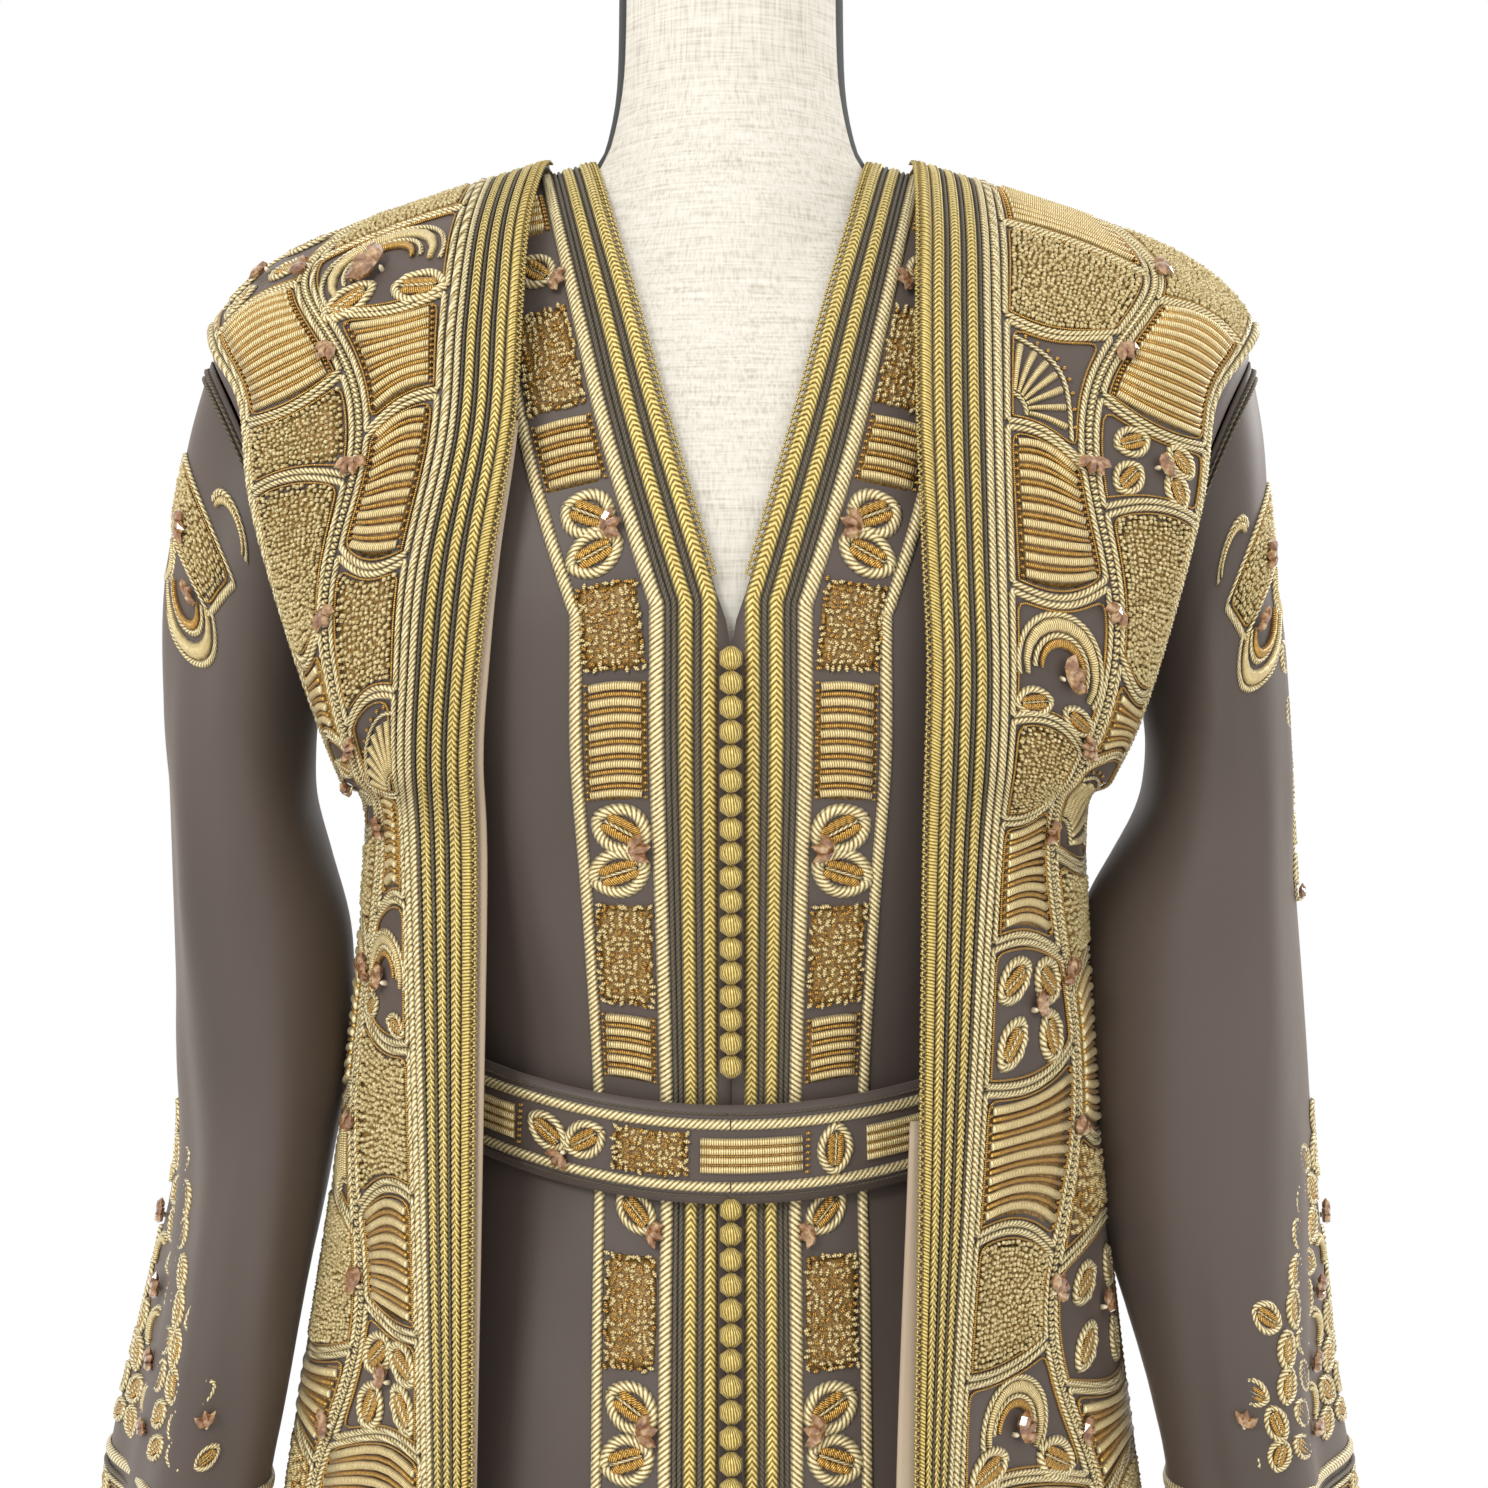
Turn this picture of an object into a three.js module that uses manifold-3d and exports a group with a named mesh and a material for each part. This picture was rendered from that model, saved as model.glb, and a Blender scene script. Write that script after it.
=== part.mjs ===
// A takchita on a limbless dress form: a sleeved inner dress with a buttoned front,
// a stiff embroidered belt, and an open sleeveless robe over both.
// Millimetres, +Z up, front towards -Y, left and right as seen from the front.
// The origin is the middle of the underside of the round base.

import * as THREE from 'three';
import Module from 'manifold-3d';
import { mergeVertices } from 'three/addons/utils/BufferGeometryUtils.js';

const wasm = await Module();
wasm.setup();

// Driving sizes

const CLOTH = 2.0;                 // wall of the inner dress and of the sleeves
const ROBE_CLOTH = 2.4;            // lined and embroidered wall of the robe
const GAP = 0.3;                   // free space between pieces that touch
const LIFT = 0.5;                  // braids and bands above the curved cloth they lie on
const BUTTON = { pitch: 10, radius: 5.2, neck: 2.6, sides: 6, top: 1200, bottom: 560 };
const BRAID_WIDTH = 28.4;          // parallel braids of the dress front
const BAND_WIDTH = 33.0;           // embroidered band beside them
const BAND_REPEAT = 148;           // one leaf pair, one knot field and one ladder field
const BELT = { height: 41, rise: 26, centre: 993, wall: 2.6, lift: 5.1 };
const ROBE_BRAID_SHOULDER = 26;    // robe border where it crosses the shoulder
const PAD = { height: 96, relief: 1.5, from: 800 };  // raised embroidery fields of the robe
const LINING_WALL = 1.0;
const LINING_SHOWS = { left: [860, 1300], right: [17, 1010] };   // heights between
const FLARE_REACH = 45;            // cloth behind the front edge that swings forward with it
const CUFF_RELIEF = 1.6;
const NECK_EDGE = 65;              // half width of the dress neck at the shoulder
const ROBE_NECK_EDGE = 84;         // half width of the robe neck at the shoulder
const POLE_RADIUS = 16;
const BASE = { radius: 205, height: 14, rim: 4 };
const FORM_BOTTOM = 790;

// Heights at which the rows of the cloth change their spacing
const HEM = 15;
const SKIRT_TOP = 829;
const YOKE = 1205;
const SHOULDER = 1385;

// Spacing of those rows along the cloth: skirt, body, yoke, shoulder
const SPACING = {
  dress: [163, 47, 36, 14],
  dressBack: [204, 75, 45, 16],
  robe: [163, PAD.height / 3, PAD.height / 3, 14],
  robeBack: [204, 75, 60, 18],
};

// Shares of a trimming's width at which the cloth below it has a column
const DRESS_COLUMN = 0.45;
const ROBE_COLUMN = 0.46;

const LEFT = -1;
const RIGHT = 1;
const FRONT = -1;
const BACK = 1;

// Sections of the inner dress, hem to shoulder seam. front, back: how far the cloth stands
// out on the centre line. side: half width at the side seam, then at the armhole, whose
// edge is reach in front of and behind the middle. edge: half opening of the V neck.
// trim: how much the braids and bands narrow. fold: depth of the hanging folds.
const DRESS = [
  { zFront: 15, zSide: 15, zBack: 15, side: 258, reach: 0, front: 190, back: 190, trim: 1.0, fold: 10 },
  { zFront: 420, zSide: 420, zBack: 420, side: 220, reach: 0, front: 164, back: 166, trim: 0.95, fold: 7 },
  { zFront: 780, zSide: 780, zBack: 780, side: 184, reach: 0, front: 138, back: 142, trim: 0.88, fold: 3 },
  { zFront: 920, zSide: 925, zBack: 925, side: 152, reach: 0, front: 114, back: 118, trim: 0.87, fold: 1 },
  { zFront: 996, zSide: 1016, zBack: 1020, side: 136, reach: 0, front: 100, back: 88, trim: 0.86 },
  { zFront: 1090, zSide: 1096, zBack: 1096, side: 144, reach: 0, front: 113, back: 90, trim: 0.93 },
  { zFront: 1160, zSide: 1150, zBack: 1160, side: 158, reach: 0, front: 126, back: 98, trim: 1.0 },
  { zFront: 1205, zSide: 1195, zBack: 1215, side: 190, reach: 0, front: 128, back: 104, trim: 1.0 },
  { zFront: 1232, zSide: 1206, zBack: 1250, side: 190.3, reach: 25, front: 127, back: 106, edge: 7.5 },
  { zFront: 1268, zSide: 1232, zBack: 1285, side: 193.3, reach: 43, front: 121, back: 106, edge: 18 },
  { zFront: 1310, zSide: 1269, zBack: 1325, side: 202.5, reach: 50, front: 107, back: 100,
    edge: 30, trim: 0.98 },
  { zFront: 1355, zSide: 1307, zBack: 1365, side: 217.7, reach: 43, front: 87, back: 88,
    edge: 42, trim: 0.93 },
  { zFront: 1396, zSide: 1334, zBack: 1398, side: 232.7, reach: 25, front: 60, back: 66,
    edge: 54, trim: 0.86, neck: 30, drop: 20 },
  { zFront: 1424, zSide: 1342, zBack: 1422, side: 237.5, reach: 11, front: 26, back: 32,
    edge: 62, trim: 0.82, neck: 58, hump: 27, drop: 30 },
  { zFront: 1432, zSide: 1344, zBack: 1432, side: 239, reach: 0, front: 0, back: 0,
    edge: NECK_EDGE, trim: 0.8, neck: NECK_EDGE, hump: 57, dip: 8, drop: 34 },
];

// Sections of the robe. sideL, sideR: half widths. edgeL, edgeR: where its front edges
// hang. braidL, braidR: width of the braid border seen from the front. flare: how far the
// front edge swings forward. peepL, peepR: how far the lining shows past the edge.
const ROBE = [
  { zFront: 15, zSide: 15, zBack: 15, sideL: 296, sideR: 284, reach: 0, front: 218, back: 225,
    edgeL: 112, edgeR: 84, braidL: 22, braidR: 20, flare: 14, fold: 12, peepL: 0, peepR: 5 },
  { zFront: 420, zSide: 420, zBack: 420, sideL: 250, sideR: 236, reach: 0, front: 186, back: 196,
    edgeL: 108, edgeR: 79, braidL: 20, braidR: 17, flare: 17, fold: 9, peepL: 0, peepR: 6 },
  { zFront: 700, zSide: 700, zBack: 700, sideL: 218, sideR: 205, reach: 0, front: 160, back: 172,
    edgeL: 105, edgeR: 76, braidL: 18, braidR: 14, flare: 20, fold: 5, peepL: 0, peepR: 8 },
  { zFront: 840, zSide: 840, zBack: 840, sideL: 201, sideR: 183, reach: 0, front: 146, back: 158,
    edgeL: 106, edgeR: 75, braidL: 17.5, braidR: 13, flare: 20, fold: 3, peepL: 1, peepR: 8 },
  { zFront: 980, zSide: 980, zBack: 980, sideL: 180, sideR: 169, reach: 0, front: 137, back: 140,
    edgeL: 108, edgeR: 78.5, braidL: 23, braidR: 20, flare: 10, fold: 1, peepL: 3, peepR: 5 },
  { zFront: 1110, zSide: 1125, zBack: 1125, sideL: 166, sideR: 161, reach: 6, front: 136, back: 120,
    edgeL: 108.5, edgeR: 81, braidL: 29, braidR: 27, peepL: 4, peepR: 0 },
  { zFront: 1160, zSide: 1150, zBack: 1165, sideL: 173, sideR: 169, reach: 38, front: 139, back: 118,
    edgeL: 108.5, edgeR: 81.5, braidL: 29, braidR: 29, peepL: 4, peepR: 0 },
  { zFront: 1200, zSide: 1176, zBack: 1200, sideL: 181, sideR: 179, reach: 53, front: 140, back: 119,
    edgeL: 105, edgeR: 82, braidL: 30, braidR: 29, peepL: 4, peepR: 0 },
  { zFront: 1245, zSide: 1222, zBack: 1245, sideL: 195, sideR: 192, reach: 63, front: 137, back: 120,
    edgeL: 99, edgeR: 80, braidL: 31, braidR: 29.5, peepL: 3, peepR: 0 },
  { zFront: 1300, zSide: 1272, zBack: 1300, sideL: 208, sideR: 204, reach: 67, front: 125, back: 116,
    edgeL: 91, edgeR: 78.5, braidL: 27, braidR: 30.5, peepL: 2, peepR: 0 },
  { zFront: 1350, zSide: 1314, zBack: 1350, sideL: 214, sideR: 211, reach: 60, front: 106, back: 103,
    edgeL: 89.5, edgeR: 79.5, braidL: 26.5, braidR: 30.5, peepL: 0, peepR: 0 },
  { zFront: 1392, zSide: 1338, zBack: 1390, sideL: 230, sideR: 229, reach: 38, front: 76, back: 80,
    edgeL: 89, edgeR: 82, braidL: 25, braidR: 30, drop: 16, neck: 40 },
  { zFront: 1423.5, zSide: 1350, zBack: 1419, sideL: 238, sideR: 240, reach: 16, front: 34, back: 42,
    edgeL: 86, edgeR: 84, braidL: 25, braidR: 29, drop: 24, neck: 76, hump: 26 },
  { zFront: 1432, zSide: 1355, zBack: 1432, sideL: 240, sideR: 243, reach: 0, front: 0, back: 0,
    edgeL: ROBE_NECK_EDGE, edgeR: ROBE_NECK_EDGE, braidL: 26, braidR: 28, drop: 28,
    neck: ROBE_NECK_EDGE, hump: 66, dip: 12 },
];

// Sections of the torso of the form, closed along the shoulder ridge.
const TORSO = [
  { zFront: FORM_BOTTOM, zSide: FORM_BOTTOM, zBack: FORM_BOTTOM, side: 166, front: 116, back: 118 },
  { zFront: 900, zSide: 900, zBack: 900, side: 148, front: 102, back: 104 },
  { zFront: 1005, zSide: 1005, zBack: 1005, side: 120, front: 86, back: 72 },
  { zFront: 1090, zSide: 1090, zBack: 1090, side: 134, front: 103, back: 80 },
  { zFront: 1160, zSide: 1155, zBack: 1160, side: 148, front: 119, back: 91 },
  { zFront: 1208, zSide: 1200, zBack: 1215, side: 156, front: 123, back: 98 },
  { zFront: 1268, zSide: 1250, zBack: 1285, side: 168, front: 117, back: 101 },
  { zFront: 1310, zSide: 1290, zBack: 1325, side: 177, front: 103, back: 96 },
  { zFront: 1355, zSide: 1325, zBack: 1365, side: 182, front: 83, back: 84 },
  { zFront: 1394, zSide: 1351, zBack: 1396, side: 183, front: 56, back: 62, drop: 16 },
  { zFront: 1421, zSide: 1365.5, zBack: 1419, side: 181, front: 24, back: 29, drop: 22 },
  { zFront: 1429.1, zSide: 1369.5, zBack: 1429.1, side: 180, front: 0, back: 0, drop: 24 },
];

// Rings of the neck of the form, from inside the chest to its flat top.
const NECK = [
  { z: 1340, half: 56, front: 86, back: 76 },
  { z: 1375, half: 64, front: 80, back: 68 },
  { z: 1402, half: 66, front: 73, back: 56 },
  { z: 1424, half: 61, front: 64, back: 51 },
  { z: 1442, half: 57.5, front: 58, back: 51 },
  { z: 1464, half: 53.5, front: 54, back: 52 },
  { z: 1498, half: 52.5, front: 52, back: 53 },
  { z: 1530, half: 52.5, front: 52, back: 53 },
];

// Rings of the sleeves, armhole to cuff: the outermost and innermost points of a ring,
// its half depth, the middle of that depth, how far its back leans outwards, how far the
// armhole is scooped towards the body, and the depth of its folds.
const SLEEVE = [
  { outL: 239, outR: 239, outZ: 1344, inL: 190, inR: 190, inZ: 1195,
    deep: 50, mid: 0, lean: 0, scoop: 12 },
  { outL: 249, outR: 245, outZ: 1308, inL: 193, inR: 193, inZ: 1176,
    deep: 53, mid: 0, lean: 0, scoop: 8 },
  { outL: 255, outR: 247, outZ: 1272, inL: 194, inR: 194, inZ: 1158,
    deep: 56, mid: 0, lean: 0, scoop: 4 },
  { outL: 259, outR: 251, outZ: 1228, inL: 193, inR: 191, inZ: 1138,
    deep: 58, mid: 0, lean: 0, scoop: 1 },
  { outL: 259, outR: 256, outZ: 1170, inL: 188, inR: 184, inZ: 1112,
    deep: 59, mid: 1, lean: 0, fold: 0.5 },
  { outL: 258, outR: 260, outZ: 1110, inL: 181, inR: 175, inZ: 1075,
    deep: 61, mid: 2, lean: 2, fold: 1 },
  { outL: 257, outR: 266, outZ: 1040, inL: 180, inR: 173, inZ: 1025,
    deep: 64, mid: 4, lean: 6, fold: 1.5 },
  { outL: 258, outR: 271, outZ: 980, inL: 187, inR: 178, inZ: 975,
    deep: 68, mid: 6, lean: 12, fold: 2 },
  { outL: 271, outR: 278, outZ: 920, inL: 195, inR: 185, inZ: 918,
    deep: 72, mid: 8, lean: 17, fold: 2.5 },
  { outL: 284, outR: 284, outZ: 870, inL: 202, inR: 192, inZ: 869,
    deep: 76, mid: 9, lean: 20, fold: 3 },
  { outL: 293.5, outR: 291.5, outZ: 831, inL: 209, inR: 198, inZ: 831,
    deep: 79, mid: 10, lean: 22, fold: 3.5 },
  { outL: 305, outR: 303, outZ: 745, inL: 221, inR: 209, inZ: 745,
    deep: 84, mid: 10, lean: 24, fold: 4 },
];

// Cross profiles of the braids: share of the width, and height above the cloth.
const DRESS_BRAID_PROFILE = [
  [0, 0.8], [0.11, 1.8], [0.27, 0.8], [0.45, 1.8], [0.65, 0.9], [0.87, 2.0], [1, 0.9],
];
const ROBE_BRAID_PROFILE = [
  [0, 0.8], [0.25, 1.9], [0.36, 0.8], [0.46, 1.9], [0.56, 0.8],
  [0.66, 1.9], [0.77, 0.8], [0.89, 2.1], [1, 0.8],
];
const DRESS_BAND_PROFILE = [[0, 0.8], [0.12, 1.0], [0.45, 1.0], [0.78, 0.9], [0.9, 1.8], [1, 0.8]];
const NECK_BRAID_LIFTS = [0.8, 1.9, 0.8];
const NAPE = { rise: 20, shoulder: 100 };  // upward share of that direction, nape to shoulder

// Small helpers

const clamp = (x, low, high) => Math.min(Math.max(x, low), high);
const mix = (a, b, t) => a + (b - a) * t;
const smooth = (x) => {
  const t = clamp(x, 0, 1);
  return t * t * (3 - 2 * t);
};
const steps = (count) => Array.from({ length: count + 1 }, (_, i) => i / count);

// Columns that turn over a ridge with the opposite sign, and the value of an unstated one.
const MIRRORED = ['front', 'back', 'reach'];
const defaultOf = (key) => (key === 'trim' ? 1 : 0);

// A row between the rows of a table, each column carried on a Catmull-Rom curve. t counts
// rows. Past the last row the table goes on as its mirror image when it ends on a ridge.
function rowAt(table, t, ridge = false) {
  const last = table.length - 1;
  const i = clamp(Math.floor(t), 0, last - 1);
  const f = t - i;
  const row = {};
  for (const key of Object.keys(table[last])) {
    const at = (k) => table[k][key] ?? defaultOf(key);
    const b = at(i);
    const c = at(i + 1);
    const a = i > 0 ? at(i - 1) : 2 * b - c;
    let d = i + 2 <= last ? at(i + 2) : 2 * c - b;
    if (ridge && i + 2 > last) d = MIRRORED.includes(key) ? -b : b;
    row[key] = b + 0.5 * f * (c - a + f * (2 * a - 5 * b + 4 * c - d + f * (3 * (b - c) + d - a)));
  }
  return row;
}

for (const table of [DRESS, ROBE, TORSO, SLEEVE]) {
  const keys = new Set(table.flatMap((row) => Object.keys(row)));
  for (const row of table) {
    for (const key of keys) row[key] ??= defaultOf(key);
  }
}

// The t at which a column of a table reaches a value, found by halving.
function whereReached(table, key, value, ridge = false) {
  let low = 0;
  let high = table.length - 1;
  for (let k = 0; k < 40; k++) {
    const t = (low + high) / 2;
    if (rowAt(table, t, ridge)[key] < value) low = t;
    else high = t;
  }
  return (low + high) / 2;
}

// Row positions t from one height to another, evenly spaced along the front profile,
// which turns over the shoulder to its ridge. The first one is left out.
function rowsBetween(table, zLow, zHigh, spacing) {
  const low = whereReached(table, 'zFront', zLow, true);
  const high = whereReached(table, 'zFront', zHigh, true);
  const fine = steps(400).map((f) => mix(low, high, f));
  const lengths = [0];
  for (let k = 1; k < fine.length; k++) {
    const [a, b] = [rowAt(table, fine[k - 1], true), rowAt(table, fine[k], true)];
    lengths.push(lengths[k - 1] + Math.hypot(b.zFront - a.zFront, b.front - a.front));
  }
  const total = lengths[lengths.length - 1];
  const count = Math.max(1, Math.round(total / spacing));
  const nearest = (f) => fine[Math.max(lengths.findIndex((length) => length >= f * total - 1e-9), 0)];
  return steps(count).slice(1).map(nearest);
}

// Folds of a skirt: two waves round the body of unlike number, so that no two are alike.
const dressWave = (angle) => 0.62 * Math.cos(9 * angle + 0.4) + 0.38 * Math.cos(14 * angle + 2.1);
const robeWave = (angle) => 0.6 * Math.cos(7 * angle + 2.6) + 0.4 * Math.cos(11 * angle + 0.7);

// A point of a body section. phi runs from the centre line (0) to the side (90 degrees) on
// an ellipse that starts at the armhole edge; the height runs from the front edge to the
// side, and falls off at the shoulder tip. Behind the neck the back bows out.
function bodyPoint(row, phi, side, face, wave) {
  const angle = face === FRONT ? phi : Math.PI - phi;
  const half = row.side ?? (side === LEFT ? row.sideL : row.sideR);
  const edge = row.edge ?? (side === LEFT ? row.edgeL : row.edgeR) ?? NECK_EDGE;
  const start = face === FRONT ? Math.max(edge, 0) : Math.max(row.neck ?? 0, 0);
  const fold = Math.max(row.fold ?? 0, 0) * wave(angle * side);
  const across = Math.sin(phi);
  const x = (half + fold) * across;
  const reach = Math.max(row.reach ?? 0, 0);
  const depth = Math.max(face === FRONT ? row.front : row.back, 0);
  const share = clamp((half * across - start) / (half - start), 0, 1);
  const top = face === FRONT ? row.zFront : row.zBack;
  const drop = Math.max(row.drop ?? 0, 0);
  let z = mix(top, row.zSide + drop, share) - drop * across ** 12;
  let y = reach + (depth - reach + fold) * Math.cos(phi);
  if (depth < reach) y = reach * (1 - (1 - depth / Math.max(reach, 1e-6)) * Math.cos(phi));
  if (face === FRONT && row.flare) y += row.flare * (1 - smooth((x - edge) / FLARE_REACH));
  if (face === BACK && row.hump > 0 && x < start) {
    const bow = Math.sqrt(1 - (x / start) ** 2);
    y += row.hump * bow;
    z -= (row.dip ?? 0) * bow;
  }
  return new THREE.Vector3(side * x, face * (y + GAP / 2), z);
}

const angleAt = (half, x) => Math.asin(clamp(x / half, -1, 1));

// A garment layer: its table, and a point on it from t and phi, or from t and x.
function layer(table, wave) {
  const rowOf = (t) => rowAt(table, t, true);
  const halfOf = (row, side) => row.side ?? (side === LEFT ? row.sideL : row.sideR);
  return {
    table,
    row: rowOf,
    half: halfOf,
    last: table.length - 1,
    at: (t, phi, side, face) => bodyPoint(rowOf(t), phi, side, face, wave),
    atX: (t, x, side, face) => {
      const row = rowOf(t);
      return bodyPoint(row, angleAt(halfOf(row, side), x), side, face, wave);
    },
  };
}

const dress = layer(DRESS, dressWave);
const robe = layer(ROBE, (angle) => robeWave(angle) * smooth((Math.abs(angle) - 0.5) / 0.7));

// Rows of each layer, hem to shoulder seam, shared by the panels and all that lies on
// them, so that their facets stay side by side. They close up where the shoulder rounds.
function rowsOf(cloth, [skirt, body, yoke, ridge]) {
  const { table, last } = cloth;
  return [
    0,
    ...rowsBetween(table, HEM, SKIRT_TOP, skirt),
    ...rowsBetween(table, SKIRT_TOP, YOKE, body),
    ...rowsBetween(table, YOKE, SHOULDER, yoke),
    ...rowsBetween(table, SHOULDER, table[last].zFront, ridge).slice(0, -1),
    last,
  ];
}

const DRESS_ROWS = rowsOf(dress, SPACING.dress);
const DRESS_BACK_ROWS = rowsOf(dress, SPACING.dressBack);
const ROBE_ROWS = rowsOf(robe, SPACING.robe);
const ROBE_BACK_ROWS = rowsOf(robe, SPACING.robeBack);

const shareOf = (ts) => ts.map((t) => (t - ts[0]) / (ts[ts.length - 1] - ts[0]));

// A row position from a share of the way along a list of rows.
const rowPosition = (ts, v) => mix(ts[0], ts[ts.length - 1], v);

// Closed walls

// Unit normal of a surface at (u, v), by small steps kept inside the unit square.
function normalAt(surface, u, v, wrapped) {
  const e = 1e-3;
  const u0 = wrapped ? u - e : Math.max(u - e, 0);
  const u1 = wrapped ? u + e : Math.min(u + e, 1);
  const alongU = surface(u1, v).sub(surface(u0, v));
  const alongV = surface(u, Math.min(v + e, 1)).sub(surface(u, Math.max(v - e, 0)));
  return alongU.cross(alongV).normalize();
}

// A closed wall over a surface that runs u anticlockwise round the body and v upwards.
// outer(i, j) and inner are distances out of the surface. Where square(u, v) holds, the
// wall is cut square to Y, so that neighbouring pieces meet there without crossing. The
// plain inside may keep only some of the columns, first and last among them. direction(u, v)
// stands for the surface's own normal where it is given.
function wall(surface, us, vs, options) {
  const { outer, inner, wrapped = false, square = () => false } = options;
  const directionAt = options.direction ?? ((u, v) => normalAt(surface, u, v, wrapped));
  const insides = options.insides ?? us.map((_, i) => i);
  const flip = options.side === LEFT;
  const nu = us.length;
  const nv = vs.length;
  const positions = [];
  const shells = [outer, () => inner];
  for (const lift of shells) {
    for (let j = 0; j < nv; j++) {
      for (let i = 0; i < nu; i++) {
        const normal = directionAt(us[i], vs[j]);
        if (flip) normal.negate();
        if (square(us[i], vs[j])) normal.setY(0).normalize();
        const point = surface(us[i], vs[j]).addScaledVector(normal, lift(i, j));
        positions.push(point.x, point.y, point.z);
      }
    }
  }
  const faces = [];
  const add = (a, b, c) => faces.push(...(flip ? [a, c, b] : [a, b, c]));
  const shell = nu * nv;
  const id = (i, j) => j * nu + (i % nu);
  const cells = wrapped ? nu : nu - 1;
  const spans = insides.slice(wrapped ? 0 : 1).map((q, k) => (wrapped ? [q, q + 1] : [insides[k], q]));
  for (let j = 0; j < nv - 1; j++) {
    for (let i = 0; i < cells; i++) {
      const [a, b, c, d] = [id(i, j), id(i + 1, j), id(i + 1, j + 1), id(i, j + 1)];
      add(a, b, c);
      add(a, c, d);
    }
    for (const [p, q] of spans) {
      const [a, b, c, d] = [id(p, j), id(q, j), id(q, j + 1), id(p, j + 1)].map((k) => k + shell);
      add(a, c, b);
      add(a, d, c);
    }
    if (!wrapped) {
      const [a, b, c, d] = [id(nu - 1, j), id(nu - 1, j + 1), id(0, j + 1), id(0, j)];
      add(b, a, a + shell);
      add(b, a + shell, b + shell);
      add(d, c, c + shell);
      add(d, c + shell, d + shell);
    }
  }
  for (const [p, q] of spans) {
    for (let i = p; i < q; i++) {
      add(id(i + 1, 0), id(i, 0), id(p, 0) + shell);
      add(id(i, nv - 1), id(i + 1, nv - 1), id(p, nv - 1) + shell);
    }
    add(id(q, 0), id(p, 0) + shell, id(q, 0) + shell);
    add(id(q, nv - 1) + shell, id(p, nv - 1) + shell, id(q, nv - 1));
  }
  return geometryOf(positions, faces);
}

function geometryOf(positions, faces) {
  const geometry = new THREE.BufferGeometry();
  geometry.setAttribute('position', new THREE.Float32BufferAttribute(positions, 3));
  geometry.setIndex(faces);
  return geometry;
}

// Front panels

const dressEdge = (row) => Math.max(row.edge, GAP / 2);
const dressTrimStart = (row) => Math.max(row.edge + 0.2, BUTTON.radius + 0.4);
const dressBraidWidth = (row) => BRAID_WIDTH * row.trim;
const dressBandWidth = (row) => BAND_WIDTH * row.trim;
const robeEdge = (row, side) => (side === LEFT ? row.edgeL : row.edgeR);
const robeBraid = (row, side) => (side === LEFT ? row.braidL : row.braidR);
const robePeep = (row, side) => (side === LEFT ? row.peepL : row.peepR);

// Distances from the middle of the columns that lie under the trimmings of a front.
function dressColumns(row) {
  const start = dressTrimStart(row);
  const [braid, band] = [dressBraidWidth(row), dressBandWidth(row)];
  return [
    dressEdge(row), start + DRESS_COLUMN * braid, start + braid,
    start + braid + DRESS_COLUMN * band, start + braid + band,
  ];
}

function robeColumns(row, side) {
  const [edge, braid] = [robeEdge(row, side), robeBraid(row, side)];
  return [edge, edge + ROBE_COLUMN * braid, edge + braid];
}

// A point of a front panel: whole columns first lie under the trimmings, and the rest turn
// evenly from there to the side seam.
function columnPoint(cloth, t, column, side, face, columnsOf, bodyColumns) {
  const row = cloth.row(t);
  const xs = columnsOf(row, side);
  const half = cloth.half(row, side);
  const count = xs.length - 1;
  if (column <= count) {
    const i = clamp(Math.floor(column), 0, count - 1);
    return cloth.at(t, angleAt(half, mix(xs[i], xs[i + 1], column - i)), side, face);
  }
  const turned = angleAt(half, xs[count]);
  return cloth.at(t, mix(turned, Math.PI / 2, (column - count) / bodyColumns), side, face);
}

// A wall is square to Y along the shoulder seam and along the side seam below the armhole.
function seamSquare(cloth, ts, sideAt) {
  return (u, v) => {
    const t = rowPosition(ts, v);
    const onShoulder = t > cloth.last - 1e-6;
    const onSide = sideAt(u) && cloth.row(t).reach < 1;
    return onShoulder || onSide;
  };
}

function frontPanel(cloth, side, ts, columnsOf, bodyColumns, outer, thickness) {
  const columns = columnsOf(cloth.row(0), side).length - 1 + bodyColumns;
  const surface = (u, v) => columnPoint(
    cloth, rowPosition(ts, v), u * columns, side, FRONT, columnsOf, bodyColumns);
  const square = seamSquare(cloth, ts, (u) => u === 1);
  return wall(surface, steps(columns), shareOf(ts), { outer, inner: -thickness, side, square });
}

const dressFront = (side) => frontPanel(dress, side, DRESS_ROWS, dressColumns, 5, () => 0, CLOTH);

// Raised fields of the robe embroidery: two lanes of pads, set half a pad apart, that
// start outside the braid border.
const PAD_COLUMNS = { first: 3, outerLane: 5, last: 7 };

function padRelief(column, z) {
  const lane = column < PAD_COLUMNS.outerLane ? 0 : 0.5;
  const pad = Math.abs(Math.sin(Math.PI * (z / PAD.height + lane)));
  return PAD.relief * Math.sqrt(pad);
}

function robeFront(side) {
  const outer = (i, j) => {
    const { zFront } = robe.row(ROBE_ROWS[j]);
    const onPads = i >= PAD_COLUMNS.first && i <= PAD_COLUMNS.last;
    const raised = onPads && zFront > PAD.from && j < ROBE_ROWS.length - 1;
    return raised ? padRelief(i, zFront) : 0;
  };
  return frontPanel(robe, side, ROBE_ROWS, robeColumns, 6, outer, ROBE_CLOTH);
}

// Backs: u runs from the right side seam over the centre back to the left one. The
// columns nearest the middle share out the neck edge.
const neckColumns = (neckHalf) => () => [0, 22.5, 45, 67.5, 90].map(
  (angle) => neckHalf * Math.sin((angle * Math.PI) / 180));

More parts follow.
